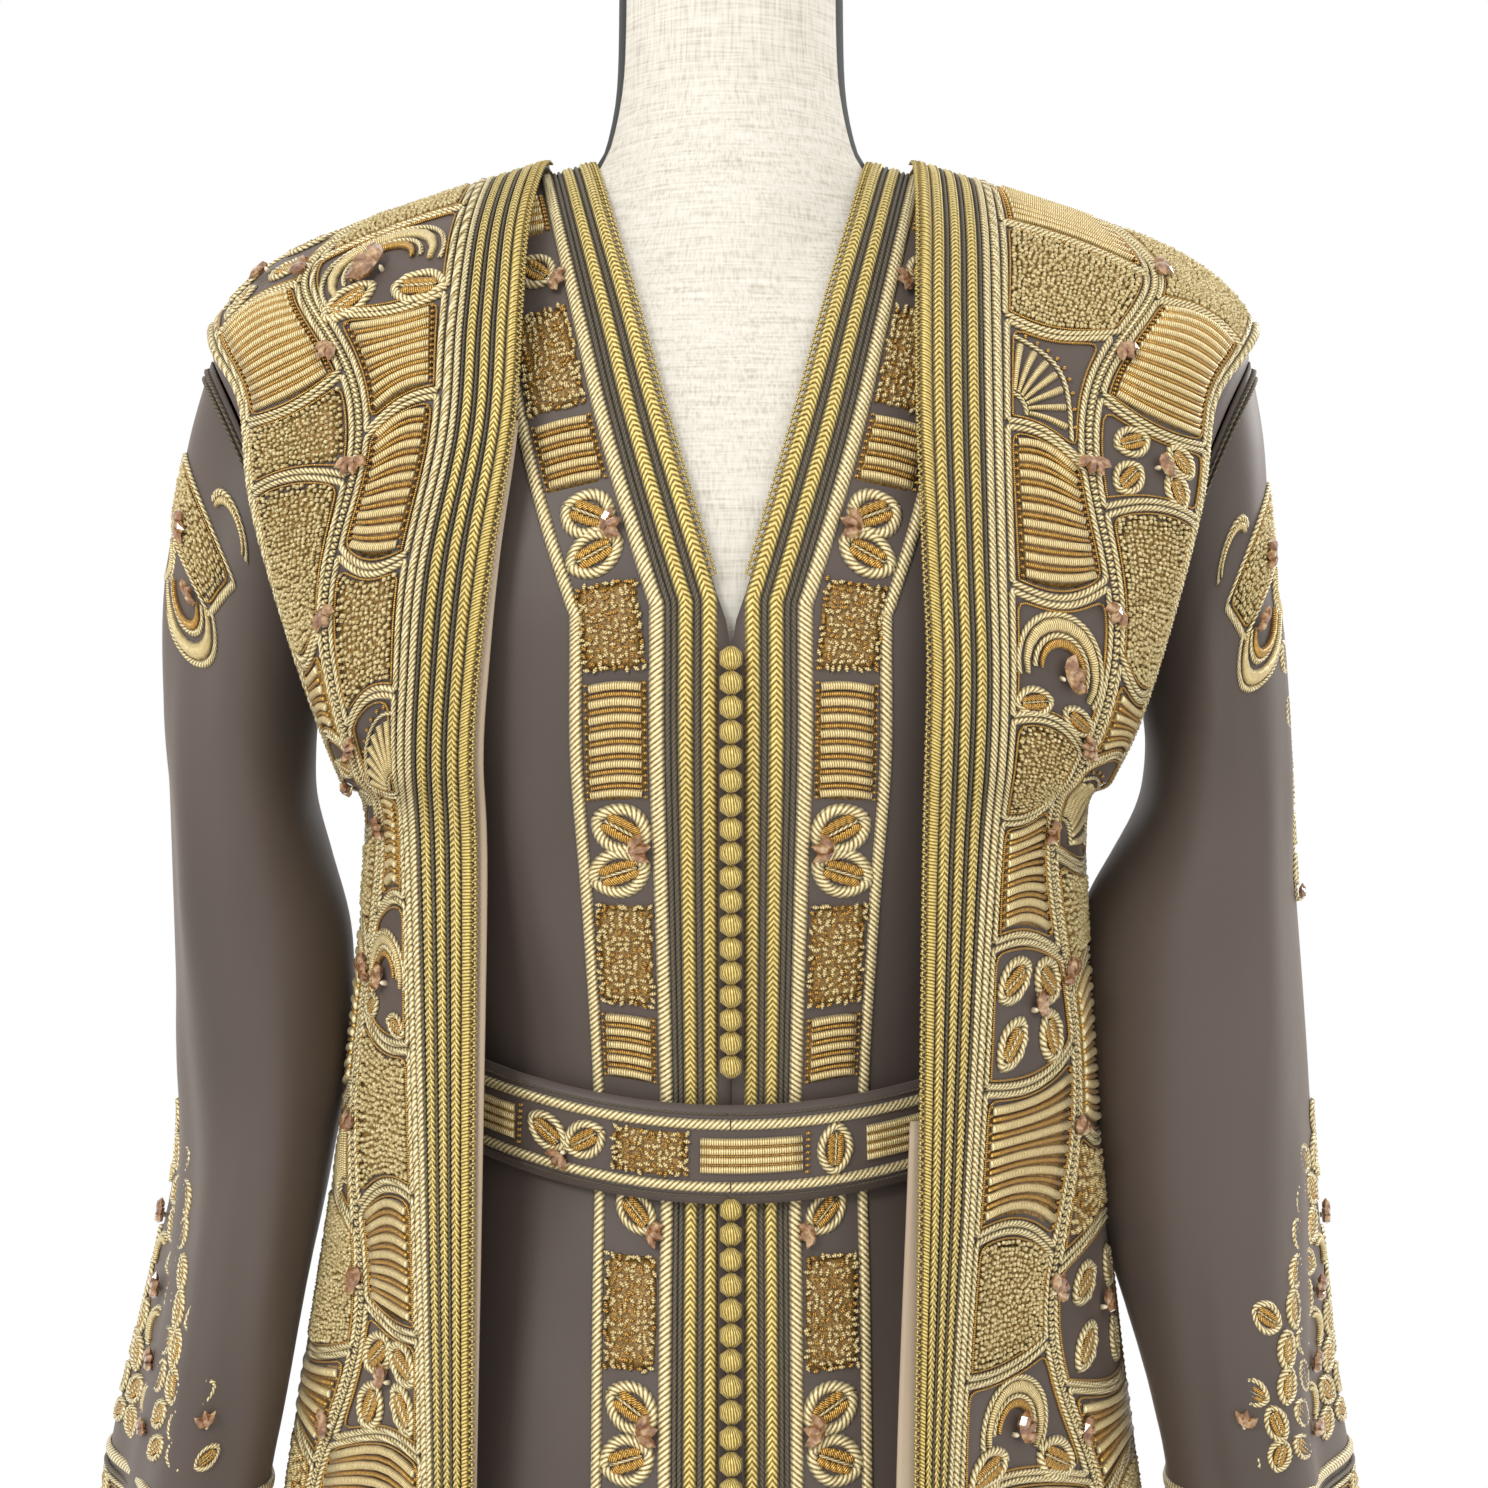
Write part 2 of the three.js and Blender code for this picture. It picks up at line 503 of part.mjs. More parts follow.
function backPanel(cloth, ts, neckHalf, bodyColumns, thickness) {
  const columns = 4 + bodyColumns;
  const surface = (u, v) => {
    const side = u <= 0.5 ? RIGHT : LEFT;
    const column = Math.abs(1 - 2 * u) * columns;
    return columnPoint(cloth, rowPosition(ts, v), column, side, BACK, neckColumns(neckHalf), bodyColumns);
  };
  const square = seamSquare(cloth, ts, (u) => u === 0 || u === 1);
  return wall(surface, steps(2 * columns), shareOf(ts), { outer: () => 0, inner: -thickness, square });
}

// Strips that lie on the fronts

// A strip between two distances from the middle, laid on a front panel.
function frontStrip(cloth, side, ts, startOf, widthOf, profile, options) {
  const { relief = () => 0, insides } = options;
  const surface = (u, v) => {
    const t = rowPosition(ts, v);
    const row = cloth.row(t);
    return cloth.atX(t, startOf(row, side) + widthOf(row, side) * u, side, FRONT);
  };
  const outer = (i, j) => LIFT + profile[i][1] + relief(i, ts[j]);
  const square = (u, v) => rowPosition(ts, v) > cloth.last - 1e-6;
  const shares = profile.map(([share]) => share);
  return wall(surface, shares, shareOf(ts), { outer, inner: LIFT, side, square, insides });
}

function dressBraid(side) {
  const width = (row) => dressBraidWidth(row) - GAP;
  return frontStrip(
    dress, side, DRESS_ROWS, dressTrimStart, width, DRESS_BRAID_PROFILE, { insides: [0, 3, 6] });
}

// The band: a rope on its outer edge, and fields that rise and sink with the repeat.
function dressBand(side) {
  const start = (row) => dressTrimStart(row) + dressBraidWidth(row) + GAP;
  const width = (row) => dressBandWidth(row) - GAP;
  const relief = (i, t) => {
    const phase = Math.sin((2 * Math.PI * dress.row(t).zFront) / BAND_REPEAT);
    return i > 0 && i < 3 ? 0.35 * (1 + phase) : 0;
  };
  return frontStrip(
    dress, side, DRESS_ROWS, start, width, DRESS_BAND_PROFILE, { relief, insides: [0, 2, 5] });
}

function robeBorder(side) {
  return frontStrip(
    robe, side, ROBE_ROWS, robeEdge, robeBraid, ROBE_BRAID_PROFILE, { insides: [0, 3, 8] });
}

// The lining lies inside the front edge of the robe and shows a few millimetres past it.
function robeLining(side, zLow, zHigh) {
  const ts = ROBE_ROWS.filter((t) => robe.row(t).zFront > zLow && robe.row(t).zFront < zHigh);
  const surface = (u, v) => {
    const t = rowPosition(ts, v);
    const row = robe.row(t);
    const edge = robeEdge(row, side);
    const braid = robeBraid(row, side);
    const xs = [edge - robePeep(row, side) - GAP, edge, edge + ROBE_COLUMN * braid, edge + braid];
    const i = clamp(Math.floor(u * 3), 0, 2);
    return robe.atX(t, mix(xs[i], xs[i + 1], u * 3 - i), side, FRONT);
  };
  const outside = -ROBE_CLOTH - GAP;
  return wall(surface, steps(3), shareOf(ts), { outer: () => outside, inner: outside - LINING_WALL, side });
}

// Braid round the back of a neck: it follows the neck edge over the last rows of the back
// and runs out to the shoulder seams, where it meets the braids of the fronts. The cloth
// turns in sharply at the nape, so there the braid stands straight out from the neck.
function neckBraid(cloth, backRows, neckHalf, outside) {
  const ts = backRows.slice(-NECK_BRAID_LIFTS.length);
  const xs = [...neckColumns(neckHalf)(), outside];
  const columns = xs.length - 1;
  const surface = (u, v) => {
    const side = u <= 0.5 ? RIGHT : LEFT;
    const column = Math.abs(1 - 2 * u) * columns;
    const i = clamp(Math.floor(column), 0, columns - 1);
    return cloth.atX(rowPosition(ts, v), mix(xs[i], xs[i + 1], column - i), side, BACK);
  };
  const onShoulder = (u) => Math.abs(1 - 2 * u) * columns >= columns - 1;
  const direction = (u, v) => {
    if (onShoulder(u)) return normalAt(surface, u, v, false);
    const point = surface(u, v);
    return point.setZ(NAPE.rise + NAPE.shoulder * (point.x / neckHalf) ** 4).normalize();
  };
  const square = (u, v) => v === 1 && onShoulder(u);
  const outer = (i, j) => LIFT + NECK_BRAID_LIFTS[j];
  return wall(surface, steps(2 * columns), shareOf(ts), { outer, inner: LIFT, square, direction });
}

// Sleeves

function sleevePoint(t, turn, side) {
  const row = rowAt(SLEEVE, t);
  const out = side === LEFT ? row.outL : row.outR;
  const into = side === LEFT ? row.inL : row.inR;
  const [c, s] = [Math.cos(turn), Math.sin(turn)];
  const reach = (out - into) / 2;
  const half = Math.sqrt(Math.max(reach * reach - row.lean * row.lean, 1));
  const fold = row.fold * Math.cos(5 * turn + 0.8);
  const x = (out + into) / 2 + (half + fold) * c - row.lean * s - row.scoop * s * s;
  const y = row.mid - (row.deep + fold) * s;
  const z = (row.outZ + row.inZ) / 2 + ((row.outZ - row.inZ) / 2) * c;
  return new THREE.Vector3(side * x, y, z);
}

// Rows of the sleeves, cuff to armhole. The cuff band takes up the first of them.
const CUFF_ROWS = [SLEEVE.length - 1, SLEEVE.length - 1.5, SLEEVE.length - 2];
const SEAM_ROW = 0.06;             // the sleeve starts this share of a row below its seam
const ARM_ROWS = Array.from({ length: SLEEVE.length - 3 }, (_, k) => SLEEVE.length - 3 - k);
const SLEEVE_ROWS = [...CUFF_ROWS, ...ARM_ROWS, SEAM_ROW];
const SLEEVE_SIDES = steps(18).slice(0, -1);

// A tube over some rows of a sleeve. u runs anticlockwise seen from above.
function sleeveTube(side, ts, outer, inner) {
  const surface = (u, v) => sleevePoint(rowPosition(ts, v), -2 * Math.PI * u, side);
  return wall(surface, SLEEVE_SIDES, shareOf(ts), { outer, inner, wrapped: true, side });
}

const sleeve = (side) => sleeveTube(side, SLEEVE_ROWS, () => 0, -CLOTH);

function armholeBraid(side) {
  const lifts = [0.8, 1.8, 0.8];
  return sleeveTube(side, [0.34, 0.24, 0.14], (i, j) => LIFT + lifts[j], LIFT);
}

function cuffBand(side) {
  const lifts = [1.0, CUFF_RELIEF, 1.0];
  return sleeveTube(side, CUFF_ROWS, (i, j) => LIFT + lifts[j], LIFT);
}

// Belt: a ring moved out of the dress, lower in front than at the sides and back.
function belt() {
  const heightAt = (phi, face) => BELT.centre + BELT.rise * (face === FRONT ? Math.sin(phi) ** 2 : 1);
  const surface = (u, v) => {
    const turn = 2 * Math.PI * (u - 0.25);
    const face = Math.sin(turn) > 0 ? BACK : FRONT;
    const side = Math.cos(turn) < 0 ? LEFT : RIGHT;
    const phi = Math.acos(clamp(Math.abs(Math.sin(turn)), 0, 1));
    const z = heightAt(phi, face) + BELT.height * (v - 0.5);
    const t = whereReached(DRESS, face === FRONT ? 'zFront' : 'zBack', z, true);
    const point = dress.at(t, phi, side, face);
    point.z = z;
    point.y -= face * GAP / 2;
    return point;
  };
  const swell = [0, 1.5, 0];
  const outer = (i, j) => BELT.lift + BELT.wall + swell[j];
  return wall(surface, steps(36).slice(0, -1), steps(2), { outer, inner: BELT.lift, wrapped: true });
}

// Buttons: knotted balls that hang together as one cord down the centre line.
function buttonRow(zTop, zBottom) {
  const count = Math.floor((zTop - zBottom) / BUTTON.pitch);
  const rings = [];
  for (let k = 0; k <= count; k++) {
    const z = zTop - k * BUTTON.pitch;
    rings.push({ z, radius: BUTTON.radius });
    if (k < count) rings.push({ z: z - BUTTON.pitch / 2, radius: BUTTON.neck });
  }
  rings.unshift({ z: zTop + BUTTON.pitch / 2, radius: BUTTON.neck });
  rings.push({ z: zTop - (count + 0.5) * BUTTON.pitch, radius: BUTTON.neck });
  rings.reverse();
  const positions = [];
  for (const { z, radius } of rings) {
    const t = whereReached(DRESS, 'zFront', z, true);
    const centreY = dress.atX(t, 0, RIGHT, FRONT).y - LIFT - BUTTON.radius;
    for (let i = 0; i < BUTTON.sides; i++) {
      const turn = (2 * Math.PI * i) / BUTTON.sides;
      positions.push(radius * Math.cos(turn), centreY + radius * Math.sin(turn), z);
    }
  }
  return ringSolid(positions, BUTTON.sides, rings.length);
}

// A closed solid through rings of points, each anticlockwise from above, bottom first.
function ringSolid(positions, sides, rings) {
  const faces = [];
  for (let j = 0; j < rings - 1; j++) {
    for (let i = 0; i < sides; i++) {
      const a = j * sides + i;
      const b = j * sides + ((i + 1) % sides);
      faces.push(a, b, b + sides, a, b + sides, a + sides);
    }
  }
  const top = (rings - 1) * sides;
  for (let i = 1; i < sides - 1; i++) {
    faces.push(0, i + 1, i);
    faces.push(top, top + i, top + i + 1);
  }
  return geometryOf(positions, faces);
}

// Dress form

function solidOf(geometry) {
  const bare = mergeVertices(geometry, 1e-4);
  const mesh = new wasm.Mesh({
    numProp: 3,
    vertProperties: new Float32Array(bare.attributes.position.array),
    triVerts: new Uint32Array(bare.index.array),
  });
  return new wasm.Manifold(mesh);
}

function geometryFrom(solid) {
  const { vertProperties, triVerts } = solid.getMesh();
  return geometryOf(Array.from(vertProperties), Array.from(triVerts));
}

function torsoGeometry() {
  const perQuarter = 6;
  const sides = 4 * perQuarter;
  const ts = [...steps(5).map((f) => f * 4), 4.6, 5.2, 5.8, 6.5, 7.2, 8, 8.6, 9.2, 9.7, 10.2, 10.7];
  const positions = [];
  for (const t of ts) {
    const row = rowAt(TORSO, t, true);
    for (let i = 0; i < sides; i++) {
      const turn = (2 * Math.PI * i) / sides;
      const face = Math.sin(turn) > 1e-9 ? BACK : FRONT;
      const side = Math.cos(turn) < 0 ? LEFT : RIGHT;
      const phi = Math.asin(clamp(Math.abs(Math.cos(turn)), 0, 1));
      const point = bodyPoint(row, phi, side, face, () => 0);
      const depth = Math.abs(Math.sin(turn)) < 1e-9 ? 0 : point.y - face * GAP / 2;
      positions.push(point.x, depth, point.z);
    }
  }
  return ringSolid(positions, sides, ts.length);
}

function neckGeometry() {
  const sides = 24;
  const positions = [];
  for (const { z, half, front, back } of NECK) {
    for (let i = 0; i < sides; i++) {
      const turn = (2 * Math.PI * i) / sides;
      const depth = Math.sin(turn) < 0 ? front : back;
      positions.push(half * Math.cos(turn), depth * Math.sin(turn), z);
    }
  }
  return ringSolid(positions, sides, NECK.length);
}

const formBody = () => geometryFrom(solidOf(torsoGeometry()).add(solidOf(neckGeometry())));

function turned(profile, segments) {
  const geometry = new THREE.LatheGeometry(profile.map(([r, z]) => new THREE.Vector2(r, z)), segments);
  geometry.rotateX(Math.PI / 2);
  return geometry;
}

const NECK_TOP = NECK[NECK.length - 1].z;
const CAP = { radius: 51, top: 44, edge: 5, height: 9, crown: 11 };
const COLLAR = { foot: 14, head: 12, edge: 16, height: 26 };   // round the foot of the pole

const formCap = () => turned([
  [0, NECK_TOP + GAP],
  [CAP.radius, NECK_TOP + GAP],
  [CAP.radius, NECK_TOP + CAP.edge],
  [CAP.top, NECK_TOP + CAP.height],
  [0, NECK_TOP + CAP.crown],
], 24);

const formPole = () => turned([
  [0, BASE.height + GAP],
  [POLE_RADIUS + COLLAR.foot, BASE.height + GAP],
  [POLE_RADIUS + COLLAR.head, COLLAR.edge + BASE.height],
  [POLE_RADIUS, COLLAR.height + BASE.height],
  [POLE_RADIUS, FORM_BOTTOM - GAP],
  [0, FORM_BOTTOM - GAP],
], 14);

const formBase = () => turned([
  [0, 0],
  [BASE.radius, 0],
  [BASE.radius, BASE.height - BASE.rim],
  [BASE.radius - BASE.rim, BASE.height],
  [0, BASE.height],
], 32);

// Colours and finishes

const FINISH = {
  canvas: { color: 0xece7dc, roughness: 0.9, metalness: 0 },
  black: { color: 0x0c0c0f, roughness: 0.8, metalness: 0 },
  steel: { color: 0x2a2a2c, roughness: 0.45, metalness: 0.6 },
  satin: { color: 0x60564f, roughness: 0.6, metalness: 0 },
  embroidered: { color: 0xb99c5c, roughness: 0.6, metalness: 0.2 },
  gold: { color: 0xc9ae4f, roughness: 0.5, metalness: 0.3 },
  cord: { color: 0x4d4436, roughness: 0.7, metalness: 0.1 },
  lining: { color: 0xb9a48e, roughness: 0.7, metalness: 0 },
};

const group = new THREE.Group();

function place(name, finish, geometry) {
  const mesh = new THREE.Mesh(geometry, new THREE.MeshStandardMaterial(FINISH[finish]));
  mesh.name = name;
  group.add(mesh);
}

place('form_body', 'canvas', formBody());
place('form_cap', 'black', formCap());
place('form_pole', 'steel', formPole());
place('form_base', 'steel', formBase());

for (const [word, side] of [['left', LEFT], ['right', RIGHT]]) {
  place(`dress_front_${word}`, 'satin', dressFront(side));
  place(`dress_sleeve_${word}`, 'satin', sleeve(side));
  place(`dress_braid_${word}`, 'gold', dressBraid(side));
  place(`dress_band_${word}`, 'embroidered', dressBand(side));
  place(`armhole_braid_${word}`, 'cord', armholeBraid(side));
  place(`cuff_band_${word}`, 'embroidered', cuffBand(side));
  place(`robe_front_${word}`, 'embroidered', robeFront(side));
  place(`robe_braid_${word}`, 'gold', robeBorder(side));
}
place('dress_back', 'satin', backPanel(dress, DRESS_BACK_ROWS, NECK_EDGE, 4, CLOTH));
place('dress_braid_neck', 'gold', neckBraid(
  dress, DRESS_BACK_ROWS, NECK_EDGE, NECK_EDGE + BRAID_WIDTH * DRESS[DRESS.length - 1].trim));
place('robe_back', 'satin', backPanel(robe, ROBE_BACK_ROWS, ROBE_NECK_EDGE, 4, ROBE_CLOTH));
place('robe_braid_neck', 'gold', neckBraid(
  robe, ROBE_BACK_ROWS, ROBE_NECK_EDGE, ROBE_NECK_EDGE + ROBE_BRAID_SHOULDER));
place('robe_lining_left', 'lining', robeLining(LEFT, ...LINING_SHOWS.left));
place('robe_lining_right', 'lining', robeLining(RIGHT, ...LINING_SHOWS.right));
place('belt', 'embroidered', belt());
place('buttons_upper', 'gold', buttonRow(BUTTON.top, BELT.centre + BELT.height / 2 + BUTTON.pitch));
place('buttons_lower', 'gold', buttonRow(BELT.centre - BELT.height / 2 - BUTTON.pitch, BUTTON.bottom));

export default group;
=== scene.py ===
import math

import bpy
import numpy as np
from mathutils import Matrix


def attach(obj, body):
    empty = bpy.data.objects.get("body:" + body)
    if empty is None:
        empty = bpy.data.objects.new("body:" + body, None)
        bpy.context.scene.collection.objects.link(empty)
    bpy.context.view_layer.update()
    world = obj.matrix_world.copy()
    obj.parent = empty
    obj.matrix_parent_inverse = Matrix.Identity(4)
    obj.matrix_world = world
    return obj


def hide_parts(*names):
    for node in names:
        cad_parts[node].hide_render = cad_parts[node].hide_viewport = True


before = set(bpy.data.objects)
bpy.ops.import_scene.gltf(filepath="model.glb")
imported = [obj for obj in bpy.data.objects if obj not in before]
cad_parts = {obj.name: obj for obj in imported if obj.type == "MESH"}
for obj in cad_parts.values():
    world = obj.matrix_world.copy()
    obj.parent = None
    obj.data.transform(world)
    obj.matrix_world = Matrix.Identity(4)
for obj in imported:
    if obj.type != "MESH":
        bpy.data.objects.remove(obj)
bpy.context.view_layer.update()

# A takchita on a dress form: inner dress, belt, open robe, gold braids and thread work.
# Sizes in the tables and patterns are millimetres; meshes are made in metres.
# Left and right are as seen from the front, which looks towards -Y.

MM = 0.001
LEFT, RIGHT = -1, 1
FRONT, BACK = -1, 1
GAP = 0.3
QUARTER = math.pi / 2
SIDES = (("left", LEFT), ("right", RIGHT))
HEM = 15
DRESS_WALL, ROBE_WALL = 1.2, 1.8
FINE_FROM = 835          # below this height trimmings are plain, as the photo's edge hides them
rng = np.random.default_rng(7)


def table(names, rows):
    """A table of sections as one array for each named column. Zeros that end a row are left
    out of it."""
    names = names.split()
    filled = [row + (0,) * (len(names) - len(row)) for row in rows]
    return {name: np.array(column, float) for name, column in zip(names, zip(*filled))}


# Sections of the inner dress, hem to shoulder seam: heights in front, at the side and
# behind, half width, reach of the armhole edge, depth in front and behind, share of the
# trimmings' width, depth of folds, half V neck, half neck behind, bow and dip of the nape,
# fall of the shoulder tip.
DRESS = table("zFront zSide zBack side reach front back trim fold edge neck hump dip drop", [
    (15, 15, 15, 258, 0, 190, 190, 1.0, 10),
    (420, 420, 420, 220, 0, 164, 166, 0.95, 7),
    (780, 780, 780, 184, 0, 138, 142, 0.88, 3),
    (920, 925, 925, 152, 0, 114, 118, 0.87, 1),
    (996, 1016, 1020, 136, 0, 100, 88, 0.86),
    (1090, 1096, 1096, 144, 0, 113, 90, 0.93),
    (1160, 1150, 1160, 158, 0, 126, 98, 1.0),
    (1205, 1195, 1215, 190, 0, 128, 104, 1.0),
    (1232, 1206, 1250, 190.3, 25, 127, 106, 1, 0, 7.5),
    (1268, 1232, 1285, 193.3, 43, 121, 106, 1, 0, 18),
    (1310, 1269, 1325, 202.5, 50, 107, 100, 0.98, 0, 30),
    (1355, 1307, 1365, 217.7, 43, 87, 88, 0.93, 0, 42),
    (1396, 1334, 1398, 232.7, 25, 60, 66, 0.86, 0, 54, 30, 0, 0, 20),
    (1424, 1342, 1422, 237.5, 11, 26, 32, 0.82, 0, 62, 58, 27, 0, 30),
    (1432, 1344, 1432, 239, 0, 0, 0, 0.8, 0, 65, 65, 57, 8, 34),
])

# Sections of the robe: the same, with half widths, front edges and braid widths of each
# side, and how far the front edge swings forward.
ROBE = table("zFront zSide zBack sideL sideR reach front back edgeL edgeR braidL braidR flare fold"
             " peepL peepR drop neck hump dip", [
    (15, 15, 15, 296, 284, 0, 218, 225, 112, 84, 22, 20, 14, 12, 0, 5),
    (420, 420, 420, 250, 236, 0, 186, 196, 108, 79, 20, 17, 17, 9, 0, 6),
    (700, 700, 700, 218, 205, 0, 160, 172, 105, 76, 18, 14, 20, 5, 0, 8),
    (840, 840, 840, 201, 183, 0, 146, 158, 106, 75, 17.5, 13, 20, 3, 1, 8),
    (980, 980, 980, 180, 169, 0, 137, 140, 108, 78.5, 23, 20, 10, 1, 3, 5),
    (1110, 1125, 1125, 166, 161, 6, 136, 120, 108.5, 81, 29, 27, 0, 0, 4),
    (1160, 1150, 1165, 173, 169, 38, 139, 118, 108.5, 81.5, 29, 29, 0, 0, 4),
    (1200, 1176, 1200, 181, 179, 53, 140, 119, 105, 82, 30, 29, 0, 0, 4),
    (1245, 1222, 1245, 195, 192, 63, 137, 120, 99, 80, 31, 29.5, 0, 0, 3),
    (1300, 1272, 1300, 208, 204, 67, 125, 116, 91, 78.5, 27, 30.5, 0, 0, 2),
    (1350, 1314, 1350, 214, 211, 60, 106, 103, 89.5, 79.5, 26.5, 30.5),
    (1392, 1338, 1390, 230, 229, 38, 76, 80, 89, 82, 25, 30, 0, 0, 0, 0, 16, 40),
    (1423.5, 1350, 1419, 238, 240, 16, 34, 42, 86, 84, 25, 29, 0, 0, 0, 0, 24, 76, 26),
    (1432, 1355, 1432, 240, 243, 0, 0, 0, 84, 84, 26, 28, 0, 0, 0, 0, 28, 84, 66, 12),
])

# Sections of the torso of the form, closed along the shoulder ridge.
TORSO = table("zFront zSide zBack side reach front back edge drop fold neck hump dip", [
    (790, 790, 790, 166, 0, 116, 118, 65),
    (900, 900, 900, 148, 0, 102, 104, 65),
    (1005, 1005, 1005, 120, 0, 86, 72, 65),
    (1090, 1090, 1090, 134, 0, 103, 80, 65),
    (1160, 1155, 1160, 148, 0, 119, 91, 65),
    (1208, 1200, 1215, 156, 0, 123, 98, 65),
    (1268, 1250, 1285, 168, 0, 117, 101, 65),
    (1310, 1290, 1325, 177, 0, 103, 96, 65),
    (1355, 1325, 1365, 182, 0, 83, 84, 65),
    (1394, 1351, 1396, 183, 0, 56, 62, 65, 16),
    (1421, 1365.5, 1419, 181, 0, 24, 29, 65, 22),
    (1429.1, 1369.5, 1429.1, 180, 0, 0, 0, 65, 24),
])

NECK = table("z half front back", [
    (1340, 56, 86, 76), (1375, 64, 80, 68), (1402, 66, 73, 56), (1424, 61, 64, 51),
    (1442, 57.5, 58, 51), (1464, 53.5, 54, 52), (1498, 52.5, 52, 53), (1530, 52.5, 52, 53),
])

# Rings of the sleeves, armhole to cuff: outermost and innermost points, half depth and its
# middle, lean, scoop of the armhole and depth of folds.
SLEEVE = table("outL outR outZ inL inR inZ deep mid lean scoop fold", [
    (239, 239, 1344, 190, 190, 1195, 50, 0, 0, 12),
    (249, 245, 1308, 193, 193, 1176, 53, 0, 0, 8),
    (255, 247, 1272, 194, 194, 1158, 56, 0, 0, 4),
    (259, 251, 1228, 193, 191, 1138, 58, 0, 0, 1),
    (259, 256, 1170, 188, 184, 1112, 59, 1, 0, 0, 0.5),
    (258, 260, 1110, 181, 175, 1075, 61, 2, 2, 0, 1),
    (257, 266, 1040, 180, 173, 1025, 64, 4, 6, 0, 1.5),
    (258, 271, 980, 187, 178, 975, 68, 6, 12, 0, 2),
    (271, 278, 920, 195, 185, 918, 72, 8, 17, 0, 2.5),
    (284, 284, 870, 202, 192, 869, 76, 9, 20, 0, 3),
    (293.5, 291.5, 831, 209, 198, 831, 79, 10, 22, 0, 3.5),
    (305, 303, 745, 221, 209, 745, 84, 10, 24, 0, 4),
])


# Forms of the cloth

def stack(*columns):
    """Columns side by side along a new last axis."""
    return np.stack(np.broadcast_arrays(*columns), axis=-1)


def travelled(path):
    """Length along a path, or along each of many, at each of its points."""
    steps = np.linalg.norm(np.diff(path, axis=-2), axis=-1)
    return np.concatenate([np.zeros(steps.shape[:-1] + (1,)), np.cumsum(steps, axis=-1)], axis=-1)


def smooth(x):
    """Eases from 0 to 1."""
    t = np.clip(x, 0, 1)
    return t * t * (3 - 2 * t)


def row_at(sections, t, ridge=True):
    """Sections between those of a table, each column carried on a Catmull-Rom curve. Past a
    ridge the depths go on as their mirror image."""
    last = len(next(iter(sections.values()))) - 1
    t = np.asarray(t, float)
    i = np.clip(np.floor(t).astype(int), 0, last - 1)
    f = t - i
    row = {}
    for key, column in sections.items():
        b, c = column[i], column[i + 1]
        a = np.where(i > 0, column[np.maximum(i - 1, 0)], 2 * b - c)
        mirrored = (-b if key in ("front", "back", "reach") else b) if ridge else 2 * c - b
        d = np.where(i + 2 <= last, column[np.minimum(i + 2, last)], mirrored)
        row[key] = b + 0.5 * f * (c - a + f * (2 * a - 5 * b + 4 * c - d + f * (3 * (b - c) + d - a)))
    return row


def of_side(row, word, side):
    """A column that may differ from left to right."""
    if word in row:
        return row[word]
    return np.where(np.asarray(side) < 0, row[word + "L"], row[word + "R"])


def unit(vectors):
    length = np.linalg.norm(vectors, axis=-1, keepdims=True)
    return vectors / np.maximum(length, 1e-9)


